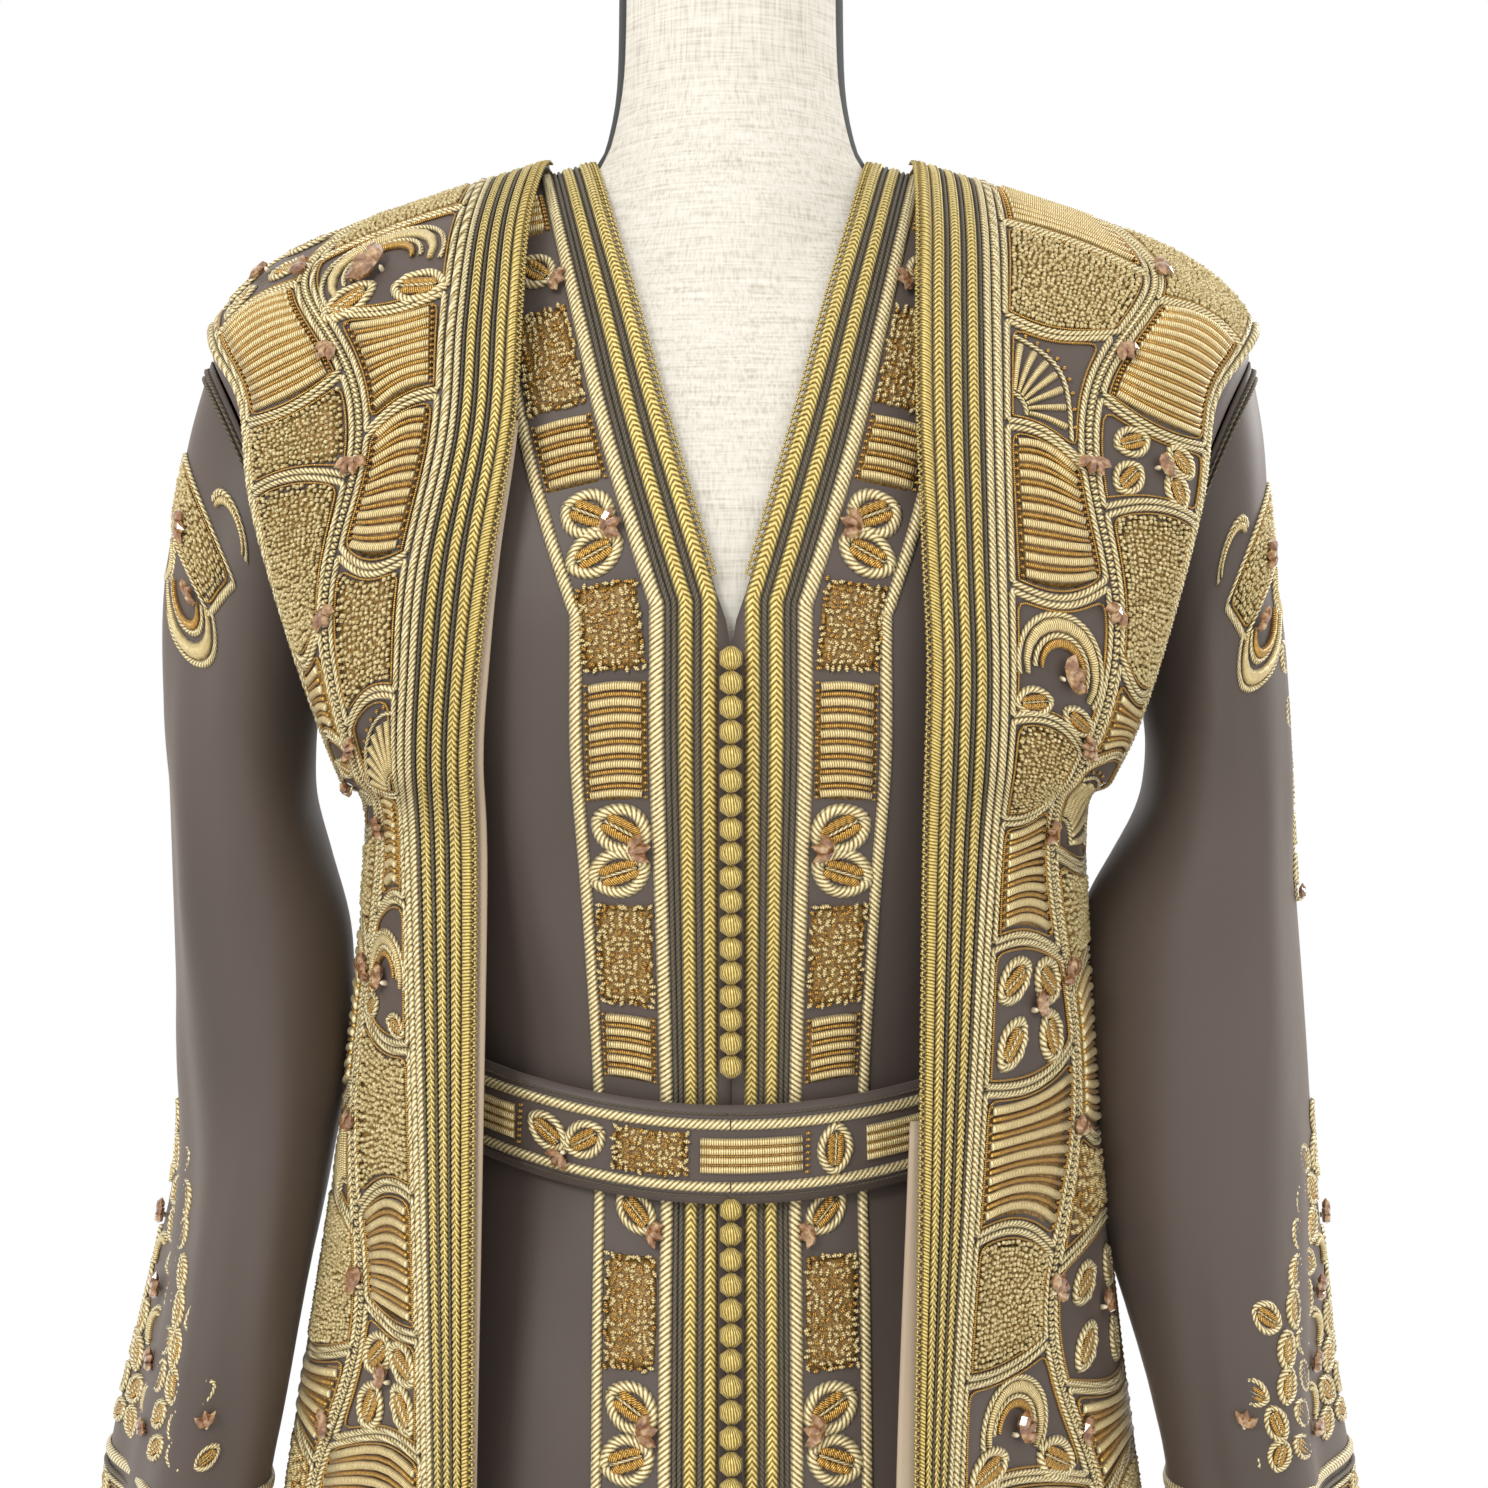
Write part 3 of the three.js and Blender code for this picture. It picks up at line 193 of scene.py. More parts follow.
class Layer:
    """One layer round the body. t counts sections upwards, phi turns from the centre line
    (0) to the side (a quarter), and run is the length in mm along the front from the hem."""

    def __init__(self, sections, wave):
        self.sections = sections
        self.wave = wave
        self.last = len(sections["zFront"]) - 1
        self.ts = np.linspace(0, self.last, 4001)
        row = row_at(sections, self.ts)
        steps = np.hypot(np.diff(row["zFront"]), np.diff(row["front"]))
        self.runs = sections["zFront"][0] + np.concatenate([[0], np.cumsum(steps)])
        self.heights = np.maximum.accumulate(row["zFront"])

    def t_at(self, run):
        return np.interp(run, self.runs, self.ts)

    def run_at(self, height):
        return np.interp(height, self.heights, self.runs)

    def row(self, t):
        return row_at(self.sections, t)

    def steps_up(self, rows):
        """t at even steps from the hem to the shoulder."""
        t = self.t_at(np.linspace(HEM, self.runs[-1], rows))
        t[-1] = self.last
        return t

    def lay(self, points, t, phi, side, face):
        """Points of the layer, lifted off it by the last column of the pattern's points."""
        normal = self.normal(t, phi, side, face)
        return self.point(t, phi, side, face) + normal * points[..., 2:3]

    def point(self, t, phi, side, face):
        """An ellipse from the armhole's reach to the centre line's depth. Its height goes
        from the front edge to the side and falls off at the shoulder tip."""
        row = self.row(t)
        half = of_side(row, "side", side)
        edge = of_side(row, "edge", side)
        start = np.maximum(edge if face == FRONT else row["neck"], 0)
        angle = phi if face == FRONT else math.pi - phi
        fold = np.maximum(row["fold"], 0) * self.wave(angle * side)
        across, along = np.sin(phi), np.cos(phi)
        x = (half + fold) * across
        reach = np.maximum(row["reach"], 0)
        depth = np.maximum(row["front" if face == FRONT else "back"], 0)
        top = row["zFront" if face == FRONT else "zBack"]
        share = np.clip((half * across - start) / (half - start), 0, 1)
        drop = np.maximum(row["drop"], 0)
        z = top + (row["zSide"] + drop - top) * share - drop * across ** 12
        y = reach + (depth - reach + fold) * along
        shallow = reach * (1 - (1 - depth / np.maximum(reach, 1e-6)) * along)
        y = np.where(depth < reach, shallow, y)
        if face == FRONT and "flare" in row:
            y = y + row["flare"] * (1 - smooth((x - edge) / 45))
        if face == BACK:
            bow = np.sqrt(np.clip(1 - (x / np.maximum(start, 1e-6)) ** 2, 0, 1))
            y = y + np.maximum(row["hump"], 0) * bow
            z = z - np.where(row["hump"] > 0, row["dip"], 0) * bow
        return stack(side * x, face * (y + GAP / 2), z)

    def normal(self, t, phi, side, face):
        """Outward direction, from small steps across and along."""
        e = 4e-3
        across = (self.point(t, np.minimum(phi + e, QUARTER), side, face)
                  - self.point(t, np.maximum(phi - e, 0), side, face))
        along = (self.point(np.minimum(t + e, self.last), phi, side, face)
                 - self.point(np.maximum(t - e, 0), phi, side, face))
        turn = np.asarray(-face * side)[..., None]
        return unit(np.cross(across, along)) * turn

    def angle(self, t, x, side):
        return np.arcsin(np.clip(x / of_side(self.row(t), "side", side), -1, 1))

    def by_x(self, side, face=FRONT):
        """Lays (x from the middle, run, lift) on the cloth."""
        def place(points):
            t = self.t_at(points[..., 1])
            return self.lay(points, t, self.angle(t, points[..., 0], side), side, face)
        return place

    def by_arc(self, side, start_of):
        """Lays (length round the body from a line that start_of gives, run, lift) on the
        front, and gives the length from that line to the side for each run."""
        ts = np.linspace(0, self.last, 281)
        phis = np.linspace(0, QUARTER, 241)
        arcs = travelled(self.point(ts[:, None], phis[None, :], side, FRONT))
        first = self.angle(ts, start_of(self.row(ts), side), side)
        offsets = np.array([np.interp(f, phis, arc) for f, arc in zip(first, arcs)])
        arcs = arcs - offsets[:, None]
        even = np.linspace(0, 320, 321)
        turned = np.array([np.interp(even, arc, phis) for arc in arcs])

        def angle_at(t, s):
            i = np.clip(t / self.last * (len(ts) - 1), 0, len(ts) - 1.001)
            j = np.clip(s, 0, 319.99)
            i0, j0 = i.astype(int), j.astype(int)
            fi, fj = i - i0, j - j0
            low = turned[i0, j0] * (1 - fj) + turned[i0, j0 + 1] * fj
            high = turned[i0 + 1, j0] * (1 - fj) + turned[i0 + 1, j0 + 1] * fj
            return low * (1 - fi) + high * fi

        def place(points):
            t = self.t_at(points[..., 1])
            phi = np.minimum(angle_at(t, points[..., 0]), QUARTER - 1e-3)
            return self.lay(points, t, phi, side, FRONT)

        def width_at(run):
            return np.interp(self.t_at(run), ts, arcs[:, -1])

        return place, width_at


def dress_wave(angle):
    return 0.62 * np.cos(9 * angle + 0.4) + 0.38 * np.cos(14 * angle + 2.1)


def robe_wave(angle):
    wave = 0.6 * np.cos(7 * angle + 2.6) + 0.4 * np.cos(11 * angle + 0.7)
    return wave * smooth((np.abs(angle) - 0.5) / 0.7)


dress = Layer(DRESS, dress_wave)
robe = Layer(ROBE, robe_wave)
torso = Layer(TORSO, lambda angle: 0 * angle)


SLEEVE_RINGS = np.arange(len(SLEEVE["outZ"]), dtype=float)


def sleeve_point(t, turn, side):
    """A leaning ellipse, scooped towards the body in front and behind at the armhole."""
    row = row_at(SLEEVE, t, ridge=False)
    out, into = of_side(row, "out", side), of_side(row, "in", side)
    c, s = np.cos(turn), np.sin(turn)
    half = np.sqrt(np.maximum(((out - into) / 2) ** 2 - row["lean"] ** 2, 1))
    fold = row["fold"] * np.cos(5 * turn + 0.8)
    x = (out + into) / 2 + (half + fold) * c - row["lean"] * s - row["scoop"] * s * s
    y = row["mid"] - (row["deep"] + fold) * s
    z = (row["outZ"] + row["inZ"]) / 2 + (row["outZ"] - row["inZ"]) / 2 * c
    return stack(side * x, y, z)


def sleeve_normal(t, turn, side):
    e = 4e-3
    around = sleeve_point(t, turn + e, side) - sleeve_point(t, turn - e, side)
    down = (sleeve_point(np.minimum(t + e, SLEEVE_RINGS[-1]), turn, side)
            - sleeve_point(np.maximum(t - e, 0), turn, side))
    return unit(np.cross(down, around)) * -side


# Materials. Colours are sRGB hex values.

def linear(code):
    """sRGB hex to linear red, green, blue and alpha."""
    parts = [int(code[i:i + 2], 16) / 255 for i in (1, 3, 5)]
    return [p / 12.92 if p <= 0.04045 else ((p + 0.055) / 1.055) ** 2.4 for p in parts] + [1.0]


def plug(tree, node, inputs):
    """Sets a node's sockets, each to a value or to another node's output."""
    for socket, value in inputs.items():
        if isinstance(value, bpy.types.NodeSocket):
            tree.links.new(value, node.inputs[socket])
        else:
            node.inputs[socket].default_value = value


def add(tree, kind, inputs=(), **settings):
    """Adds a node with its settings and inputs."""
    node = tree.nodes.new(kind)
    for key, value in settings.items():
        setattr(node, key, value)
    plug(tree, node, dict(inputs))
    return node


def new_material(name):
    material = bpy.data.materials.new(name)
    material.use_nodes = True
    tree = material.node_tree
    return material, tree, tree.nodes["Principled BSDF"]


def ramp(tree, factor, stops):
    """A colour ramp with (position, colour) stops."""
    node = add(tree, "ShaderNodeValToRGB", {"Fac": factor})
    elements = node.color_ramp.elements
    while len(elements) < len(stops):
        elements.new(0.5)
    for element, (position, code) in zip(elements, stops):
        element.position = position
        element.color = linear(code)
    return node.outputs["Color"]


def noise_at(tree, per_metre, detail=3.0, stretch=(1, 1, 1)):
    """Noise in object coordinates: per_metre grains to the metre."""
    place = add(tree, "ShaderNodeTexCoord").outputs["Object"]
    mapped = add(tree, "ShaderNodeMapping", {"Vector": place, "Scale": stretch}).outputs[0]
    return add(tree, "ShaderNodeTexNoise",
               {"Vector": mapped, "Scale": per_metre, "Detail": detail}).outputs["Fac"]


def bump(tree, height, distance, strength, normal=None):
    """Bump of a height in metres."""
    inputs = {"Height": height, "Distance": distance, "Strength": strength}
    if normal is not None:
        inputs["Normal"] = normal
    return add(tree, "ShaderNodeBump", inputs).outputs["Normal"]


def math_node(tree, operation, a, b=0.0, c=0.0):
    return add(tree, "ShaderNodeMath", {0: a, 1: b, 2: c}, operation=operation).outputs[0]


def crepe(name, low, mid, high, roughness, sheen):
    """Heavy satin-back crepe: a fine pebbled grain, a soft sheen, faint mottling."""
    material, tree, surface = new_material(name)
    broad = noise_at(tree, 9, 2.0, (1, 1, 0.45))
    colour = ramp(tree, broad, [(0.3, low), (0.5, mid), (0.72, high)])
    grain = noise_at(tree, 1500, 2.0)      # crepe grain, drawn at 0.7 mm to show
    soft = noise_at(tree, 60, 2.0)
    normal = bump(tree, grain, 0.00012, 0.35)
    plug(tree, surface, {
        "Base Color": colour, "Normal": bump(tree, soft, 0.0007, 0.25, normal),
        "Roughness": roughness, "Specular IOR Level": 0.35,
        "Sheen Weight": sheen, "Sheen Roughness": 0.45, "Sheen Tint": linear("#B8A697")})
    return material


def thread(name, low, mid, high, pitch, slant, chevron=False, metallic=0.3, roughness=0.42):
    """Stitched or twisted thread in the piece's own UV map, where u is mm along the cord and
    v the share across it: ridges cos(u + slant v), or slant |v| for a plaited braid. The colour
    runs with the ridges from low, painted shade in the grooves, to high, a painted highlight
    on the crests, with random flecks of tone."""
    material, tree, surface = new_material(name)
    uv = add(tree, "ShaderNodeUVMap", uv_map="stitch").outputs[0]
    parts = add(tree, "ShaderNodeSeparateXYZ", {0: uv})
    across = parts.outputs[1]
    if chevron:
        across = math_node(tree, "ABSOLUTE", across)
    phase = math_node(tree, "ADD", parts.outputs[0], math_node(tree, "MULTIPLY", across, slant))
    turns = math_node(tree, "MULTIPLY", phase, 2 * math.pi / pitch)
    ridge = math_node(tree, "COSINE", turns)
    level = math_node(tree, "MULTIPLY_ADD", ridge, 0.38, 0.5)
    fleck = math_node(tree, "MULTIPLY_ADD", noise_at(tree, 700, 2.0), 0.5, -0.25)
    ridge_shade_highlight_and_fleck = math_node(tree, "ADD", level, fleck)
    fibre = math_node(tree, "SINE", math_node(tree, "MULTIPLY", phase, 2 * math.pi / 0.7))
    height = math_node(tree, "ADD", level, math_node(tree, "MULTIPLY", fibre, 0.12))
    plug(tree, surface, {
        # Colour follows the ridge: painted shade in the grooves and a painted highlight on the crests,
        # plus random flecks.
        "Base Color": ramp(tree, ridge_shade_highlight_and_fleck, [(0.08, low), (0.45, mid), (0.9, high)]),
        "Normal": bump(tree, height, 0.00035, 0.7),
        "Metallic": metallic, "Roughness": roughness, "Sheen Weight": 0.15})
    return material


def plain(name, low, mid, high, per_metre, depth, roughness, metallic=0.0, coat=0.0, clear=0.0):
    """A surface with a mottled colour and a grain in object coordinates."""
    material, tree, surface = new_material(name)
    grain = noise_at(tree, per_metre, 3.0)
    plug(tree, surface, {
        "Base Color": ramp(tree, grain, [(0.3, low), (0.5, mid), (0.7, high)]),
        "Normal": bump(tree, grain, depth, 0.5), "Roughness": roughness, "Metallic": metallic,
        "Coat Weight": coat, "Transmission Weight": clear})
    return material


def linen():
    """Natural linen canvas over the chest and neck, with uneven slub threads both ways; the
    sides of the neck and the back are black jersey."""
    material, tree, surface = new_material("linen_canvas_and_black_jersey")
    place = add(tree, "ShaderNodeTexCoord").outputs["Object"]
    warp = noise_at(tree, 900, 2.0, (1, 1, 0.06))
    weft = noise_at(tree, 900, 2.0, (0.06, 0.06, 1))
    weave = math_node(tree, "MULTIPLY", math_node(tree, "ADD", warp, weft), 0.5)
    canvas = ramp(tree, weave, [(0.3, "#B9B1A0"), (0.5, "#D9D3C6"), (0.7, "#E6E1D6")])
    depth = add(tree, "ShaderNodeSeparateXYZ", {0: place}).outputs[1]
    behind = add(tree, "ShaderNodeMapRange",
                 {0: depth, 1: -0.0215, 2: -0.0205, 3: 0.0, 4: 1.0}).outputs[0]
    mixer = add(tree, "ShaderNodeMix", {0: behind, 6: canvas, 7: linear("#0D0D10")}, data_type="RGBA")
    plug(tree, surface, {"Base Color": mixer.outputs[2], "Normal": bump(tree, weave, 0.0003, 0.5),
                         "Roughness": 0.85, "Sheen Weight": 0.1})
    return material


SATIN = crepe("taupe_satin_crepe", "#4B423C", "#544943", "#5D524B", 0.5, 0.32)
LINING = crepe("beige_satin_lining", "#A39079", "#AF9C84", "#BAA890", 0.5, 0.3)
CANVAS = linen()
# Each thread below has three colours: low is painted shade in its grooves, mid its own colour, high a
# painted highlight on its ridges.
# Plaited metallic braid: two rows of slanting stitches that meet in the middle.
BRAID = thread("gold_plaited_braid", "#4E3C12", "#BF9F44", "#F4E294", 2.6, 7.0, True, 0.35, 0.36)
# Twisted cords of matt dark yarn.
DARK = thread("dark_twisted_cord", "#2E2920", "#574C38", "#75674B", 2.2, 3.0, False, 0.1, 0.6)
# Slanting satin stitch over a cord: pale gold rayon.
ROPE = thread("pale_gold_rope_stitch", "#6E5424", "#D6BE7E", "#FDF4CC", 2.4, 4.5, False, 0.2, 0.34)
# Flat padded satin stitch, threads across the bar.
BAR = thread("padded_satin_bar", "#8E6C30", "#D8BA74", "#FBEFBC", 1.0, 0.0, False, 0.25, 0.32)
# Couched bullion of amber metal thread: tight shiny coils.
BULLION = thread("amber_bullion", "#54340A", "#B27C22", "#F0C468", 0.9, 0.6, False, 0.6, 0.28)
# Crocheted edging of gold thread.
CROCHET = thread("gold_crochet", "#58420F", "#C2A244", "#F2DE8E", 1.4, 1.5, False, 0.3, 0.4)
# Knot stitch in champagne silk.
KNOT = plain("champagne_knot_stitch", "#7E6A3C", "#CBB67E", "#F2E4B8", 900, 0.0004, 0.42, 0.12)
# Laid brown and amber threads that fill the ground between raised stitches.
GROUND = plain("laid_brown_thread_ground", "#4C3919", "#86662E", "#BC9550", 1100, 0.0003, 0.5, 0.15)
# Faceted rose-brown glass.
CRYSTAL = plain("rose_brown_cut_glass", "#74482C", "#AE7C50", "#ECC898", 300, 0.0, 0.06, 0.0, 1.0, 0.3)
PEARL = plain("champagne_glass_bead", "#C9AE7C", "#E9D8B4", "#FFF6E0", 400, 0.0, 0.15, 0.2, 1.0)
STEEL = plain("black_powder_coated_steel", "#17171A", "#1E1E21", "#27272B", 1200, 0.00005, 0.42, 0.6)
CAP = plain("black_moulded_plastic", "#0D0D0F", "#121214", "#18181B", 1500, 0.00004, 0.5)
FLOOR = plain("pale_studio_floor", "#ECEAE6", "#F0EEEA", "#F4F2EE", 30, 0.0001, 0.7)


# Meshes

def make(name, points, faces, looks, shade=True, uvs=None, face_looks=None):
    """A mesh object from points in mm and a list of face index arrays."""
    mesh = bpy.data.meshes.new(name)
    points = np.asarray(points, float).reshape(-1, 3) * MM
    loops = np.concatenate([f.reshape(-1) for f in faces])
    sizes = np.concatenate([np.full(len(f), f.shape[1]) for f in faces])
    mesh.vertices.add(len(points))
    mesh.vertices.foreach_set("co", points.reshape(-1).astype(np.float32))
    mesh.loops.add(len(loops))
    mesh.loops.foreach_set("vertex_index", loops.astype(np.int32))
    mesh.polygons.add(len(sizes))
    starts = np.concatenate([[0], np.cumsum(sizes)[:-1]])
    mesh.polygons.foreach_set("loop_start", starts.astype(np.int32))
    for material in looks:
        mesh.materials.append(material)
    if face_looks is not None:
        mesh.polygons.foreach_set("material_index", np.asarray(face_looks, np.int32))
    mesh.polygons.foreach_set("use_smooth", np.array(np.broadcast_to(shade, len(sizes))))
    if uvs is not None:
        layer = mesh.uv_layers.new(name="stitch")
        layer.data.foreach_set("uv", np.asarray(uvs, np.float32)[loops].reshape(-1))
    mesh.update(calc_edges=True)
    mesh.validate()
    piece = bpy.data.objects.new(name, mesh)
    bpy.context.collection.objects.link(piece)
    return piece


def grid_faces(rows, columns, wrapped=False, first=0, flip=False):
    """Quads of a grid of points, row by row; a wrapped one closes round its columns."""
    j, i = np.meshgrid(np.arange(rows - 1), np.arange(columns if wrapped else columns - 1),
                       indexing="ij")
    k = (i + 1) % columns
    here, above = j * columns, (j + 1) * columns
    quads = stack(here + i, here + k, above + k, above + i).reshape(-1, 4) + first
    return quads[:, ::-1] if flip else quads


def shell(name, outer, inner, look, wrapped=False, flip=False):
    """A thin closed wall between two grids of points: both skins and the rims between."""
    rows, columns = outer.shape[:2]
    count = rows * columns
    faces = [grid_faces(rows, columns, wrapped, 0, flip),
             grid_faces(rows, columns, wrapped, count, not flip)]
    ring, line = np.arange(columns), np.arange(rows) * columns
    edges = [(ring, not flip), (ring + line[-1], flip)]
    if not wrapped:
        edges += [(line, flip), (line + columns - 1, not flip)]
    for edge, backwards in edges:
        here, ahead = (edge, np.roll(edge, -1)) if wrapped else (edge[:-1], edge[1:])
        rim = stack(here, ahead, ahead + count, here + count)
        faces.append(rim[:, ::-1] if backwards else rim)
    points = np.concatenate([outer.reshape(-1, 3), inner.reshape(-1, 3)])
    return make(name, points, faces, [look])


def finish_piece(piece, slot, *nodes):
    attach(piece, "root")
    if nodes:
        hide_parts(*nodes)
    return piece


def strewn(centres, x, y, lift, angle):
    """Copies of a flat shape, each turned by its own angle and moved to its own centre."""
    c, s = np.cos(angle)[:, None], np.sin(angle)[:, None]
    return stack(centres[:, :1] + x * c - y * s, centres[:, 1:] + x * s + y * c, lift)


class Work:
    """Thread work gathered in flat pattern space, laid on its cloth in one go. Each point is
    (across, along, lift) in mm; looks are indices into its list of materials."""

    LOOKS = [BRAID, DARK, ROPE, BAR, BULLION, CROCHET, KNOT, GROUND, CRYSTAL, PEARL]

    def __init__(self):
        self.points, self.uvs, self.faces, self.face_looks = [], [], [], []
        self.count = 0

    def put(self, points, uvs, faces, look):
        self.points.append(points.reshape(-1, 3))
        self.uvs.append(uvs.reshape(-1, 2))
        for quads in faces:
            self.faces.append(quads + self.count)
            self.face_looks.append(np.full(len(quads), self.LOOKS.index(look)))
        self.count += self.points[-1].shape[0]

    def ribbon(self, path, width, height, look, pitch=0.0, slant=0.0, plait=False, spread=5,
               base=0.3, relief=0.35):
        """A closed cord carried along a path: half-round across, or two lobes when plaited,
        and raised in ridges cos(along + slant across) where a pitch is given."""
        path = np.asarray(path, float)
        ahead = unit(np.gradient(path, axis=0))
        aside = stack(ahead[:, 1], -ahead[:, 0])
        length = travelled(path)
        v = np.linspace(-0.5, 0.5, spread)
        crown = np.sqrt(np.clip(1 - (2 * v) ** 2, 0, 1))
        if plait:
            crown = crown * (0.55 + 0.45 * np.abs(np.sin(2 * math.pi * v)) ** 0.7)
        lift = np.broadcast_to(crown, (len(path), spread))
        if pitch:
            phase = length[:, None] + slant * (np.abs(v) if plait else v)[None, :]
            ridge = 0.5 + 0.5 * np.cos(2 * math.pi * phase / pitch)
            sharp = np.asarray(relief).reshape(-1, 1)
            lift = crown * (1 - sharp * (1 - ridge))
        wide = np.asarray(width, float).reshape(-1, 1)
        across = path[:, None, :] + aside[:, None, :] * (wide * v)[..., None]
        points = np.concatenate([across, (base + height * lift)[..., None]], axis=-1)
        uvs = stack(length[:, None], v[None, :])
        n = len(path)
        faces = [grid_faces(n, spread, wrapped=True)]
        ends = np.stack([np.arange(spread), np.arange(spread) + (n - 1) * spread])
        faces += [ends[:1, ::-1], ends[1:]]
        self.put(points, uvs, faces, look)

    def beads(self, centres, length, width, height, angle, look, sides=6, base=0.2):
        """Small domes, longer along their angle: base ring, shoulder ring and top."""
        centres = np.asarray(centres, float).reshape(-1, 2)
        n = len(centres)
        if n == 0:
            return
        turn = np.arange(sides) * 2 * math.pi / sides
        rings = np.concatenate([stack(np.cos(turn), np.sin(turn), 0.0),
                                stack(0.78 * np.cos(turn), 0.78 * np.sin(turn), 0.68), [[0, 0, 1.0]]])
        angle = np.broadcast_to(angle, n)
        long, wide, high = (np.broadcast_to(x, n) for x in (length, width, height))
        x = rings[None, :, 0] * long[:, None] / 2
        y = rings[None, :, 1] * wide[:, None] / 2
        points = strewn(centres, x, y, base + rings[None, :, 2] * high[:, None], angle)
        uvs = stack(x, y / np.maximum(wide[:, None], 1e-6))
        first = (np.arange(n) * (2 * sides + 1))[:, None, None]
        i = np.arange(sides)
        k = (i + 1) % sides
        walls = stack(i, k, k + sides, i + sides) + first
        tops = stack(i + sides, k + sides, 2 * sides) + first
        floors = i[::-1] + first
        faces = [walls.reshape(-1, 4), tops.reshape(-1, 3), floors.reshape(-1, sides)]
        self.put(points, uvs, faces, look)

    def crystals(self, centres, length, width, angle, base):
        """Cut drops: two points and a six-sided girdle round an axis that lies flat."""
        centres = np.asarray(centres, float).reshape(-1, 2)
        n, sides = len(centres), 6
        each = 2 * sides + 2
        turn = np.arange(sides) * math.pi / 3
        shape = [[-0.5, 0, 0]]
        for along in (-0.16, 0.16):
            shape += [[along, math.cos(a) / 2, math.sin(a) / 2] for a in turn]
        x, y, z = np.array(shape + [[0.5, 0, 0]]).T[:, None, :]
        lift = base + width / 2 + z * width
        points = strewn(centres, x * length, y * width, lift, np.broadcast_to(angle, n))
        first = (np.arange(n) * each)[:, None, None]
        i = np.arange(sides) + 1
        k = i % sides + 1
        tips = stack(0, k, i) + first
        girdle = stack(i, k, k + sides, i + sides) + first
        ends = stack(i + sides, k + sides, each - 1) + first
        faces = [tips.reshape(-1, 3), girdle.reshape(-1, 4), ends.reshape(-1, 3)]
        self.put(points, np.zeros((n * each, 2)), faces, CRYSTAL)

    def build(self, name, place, mirrored=False):
        """Lays the work on its cloth. mirrored tells that the place turns left into right."""
        points = place(np.concatenate(self.points))
        faces = [group[:, ::-1] for group in self.faces] if mirrored else self.faces
        looks = np.concatenate(self.face_looks)
        return make(name, points, faces, self.LOOKS, shade=looks != self.LOOKS.index(CRYSTAL),
                    uvs=np.concatenate(self.uvs), face_looks=looks)


# Stitches and motifs in pattern space

THIN_ROPE = dict(look=ROPE, pitch=2.4, slant=1.5, relief=0.4, spread=4)
THICK_ROPE = dict(look=ROPE, pitch=3.2, slant=4.0, relief=0.45, spread=5)


def patch(corners):
    """Maps shares (u, v) to a four-cornered field. Corners go round from the lower inner
    one, and the map is a mean of the corners weighted by u and v."""
    a, b, c, d = (np.array(corner, float) for corner in corners)

    def at(u, v):
        u = np.asarray(u, float)[..., None]
        v = np.asarray(v, float)[..., None]
        return (a * (1 - u) + b * u) * (1 - v) + (d * (1 - u) + c * u) * v
    return at


def spans(at):
    """Width and height of a field through its middle."""
    middle = at(np.array([0, 1, 0.5, 0.5]), np.array([0.5, 0.5, 0, 1]))
    return np.linalg.norm(middle[1] - middle[0]), np.linalg.norm(middle[3] - middle[2])


def outline(work, at):
    """A pale cord round a field, its corners a little rounded, and an amber one inside it."""
    wide, tall = spans(at)
    for off, width, height, look, step in ((1.6, 3.3, 1.7, ROPE, 1.15), (4.0, 1.3, 1.1, BULLION, 4.0)):
        a, b = off / wide, off / tall
        ring = [(a, b), (1 - a, b), (1 - a, 1 - b), (a, 1 - b), (a, b)]
        parts = []
        for (u0, v0), (u1, v1) in zip(ring[:-1], ring[1:]):
            count = max(int((wide if u0 != u1 else tall) / step), 4)
            f = np.linspace(0, 1, count, endpoint=False)
            parts.append(at(u0 + (u1 - u0) * f, v0 + (v1 - v0) * f))
        path = np.concatenate(parts + [parts[0][:1]])
        for _ in range(2):
            path[1:-1] = (path[:-2] + path[1:-1] * 2 + path[2:]) / 4
        work.ribbon(path, width, height, look, pitch=2.8 if look is ROPE else 0, slant=2.0,
                    relief=0.45, spread=4 if look is ROPE else 3)


def ground(work, at, a, b):
    """A low cushion of laid thread under raised stitches, tucked into the cloth all round."""
    rows, columns = 9, 7
    u = np.linspace(a, 1 - a, columns)[None, :] * np.ones((rows, 1))
    v = np.linspace(b, 1 - b, rows)[:, None] * np.ones((1, columns))
    lift = np.full((rows, columns), 0.55)
    lift[[0, -1], :] = -0.1
    lift[:, [0, -1]] = -0.1
    points = np.concatenate([at(u, v), lift[..., None]], axis=-1)
    k = np.arange(rows * columns).reshape(rows, columns)
    rim = np.concatenate([k[0, :-1], k[:-1, -1], k[-1, :0:-1], k[:0:-1, 0]])
    work.put(points, np.zeros((rows, columns, 2)), [grid_faces(rows, columns), rim[None, ::-1]], GROUND)


def ladder(work, at, gap=6.7, off=4.6, bow=0.02):
    """Padded bars across a field, amber bullion between them and beads at their ends."""
    wide, tall = spans(at)
    a, b = off / wide, off / tall
    ground(work, at, a, b)
    count = max(int(round(tall * (1 - 2 * b) / gap)), 2)
    pitch = (1 - 2 * b) / count
    u = np.linspace(a + 2.4 / wide, 1 - a - 2.4 / wide, 7)
    rise = bow * np.sin(np.pi * np.linspace(0, 1, 7))
    for k in range(count):
        v = b + pitch * (k + 0.5)
        work.ribbon(at(u, v + rise), gap * 0.62, 2.3, BAR, spread=6)
        if k:
            work.ribbon(at(u, v - pitch / 2 + rise), gap * 0.4, 1.8, BULLION, spread=4)
    v = b + pitch * (np.arange(2 * count) / 2 + 0.25)
    for end in (a + 0.9 / wide, 1 - a - 0.9 / wide):
        work.beads(at(np.full(len(v), end), v), 2.4, 1.7, 1.5, 0.0, BULLION, sides=5)


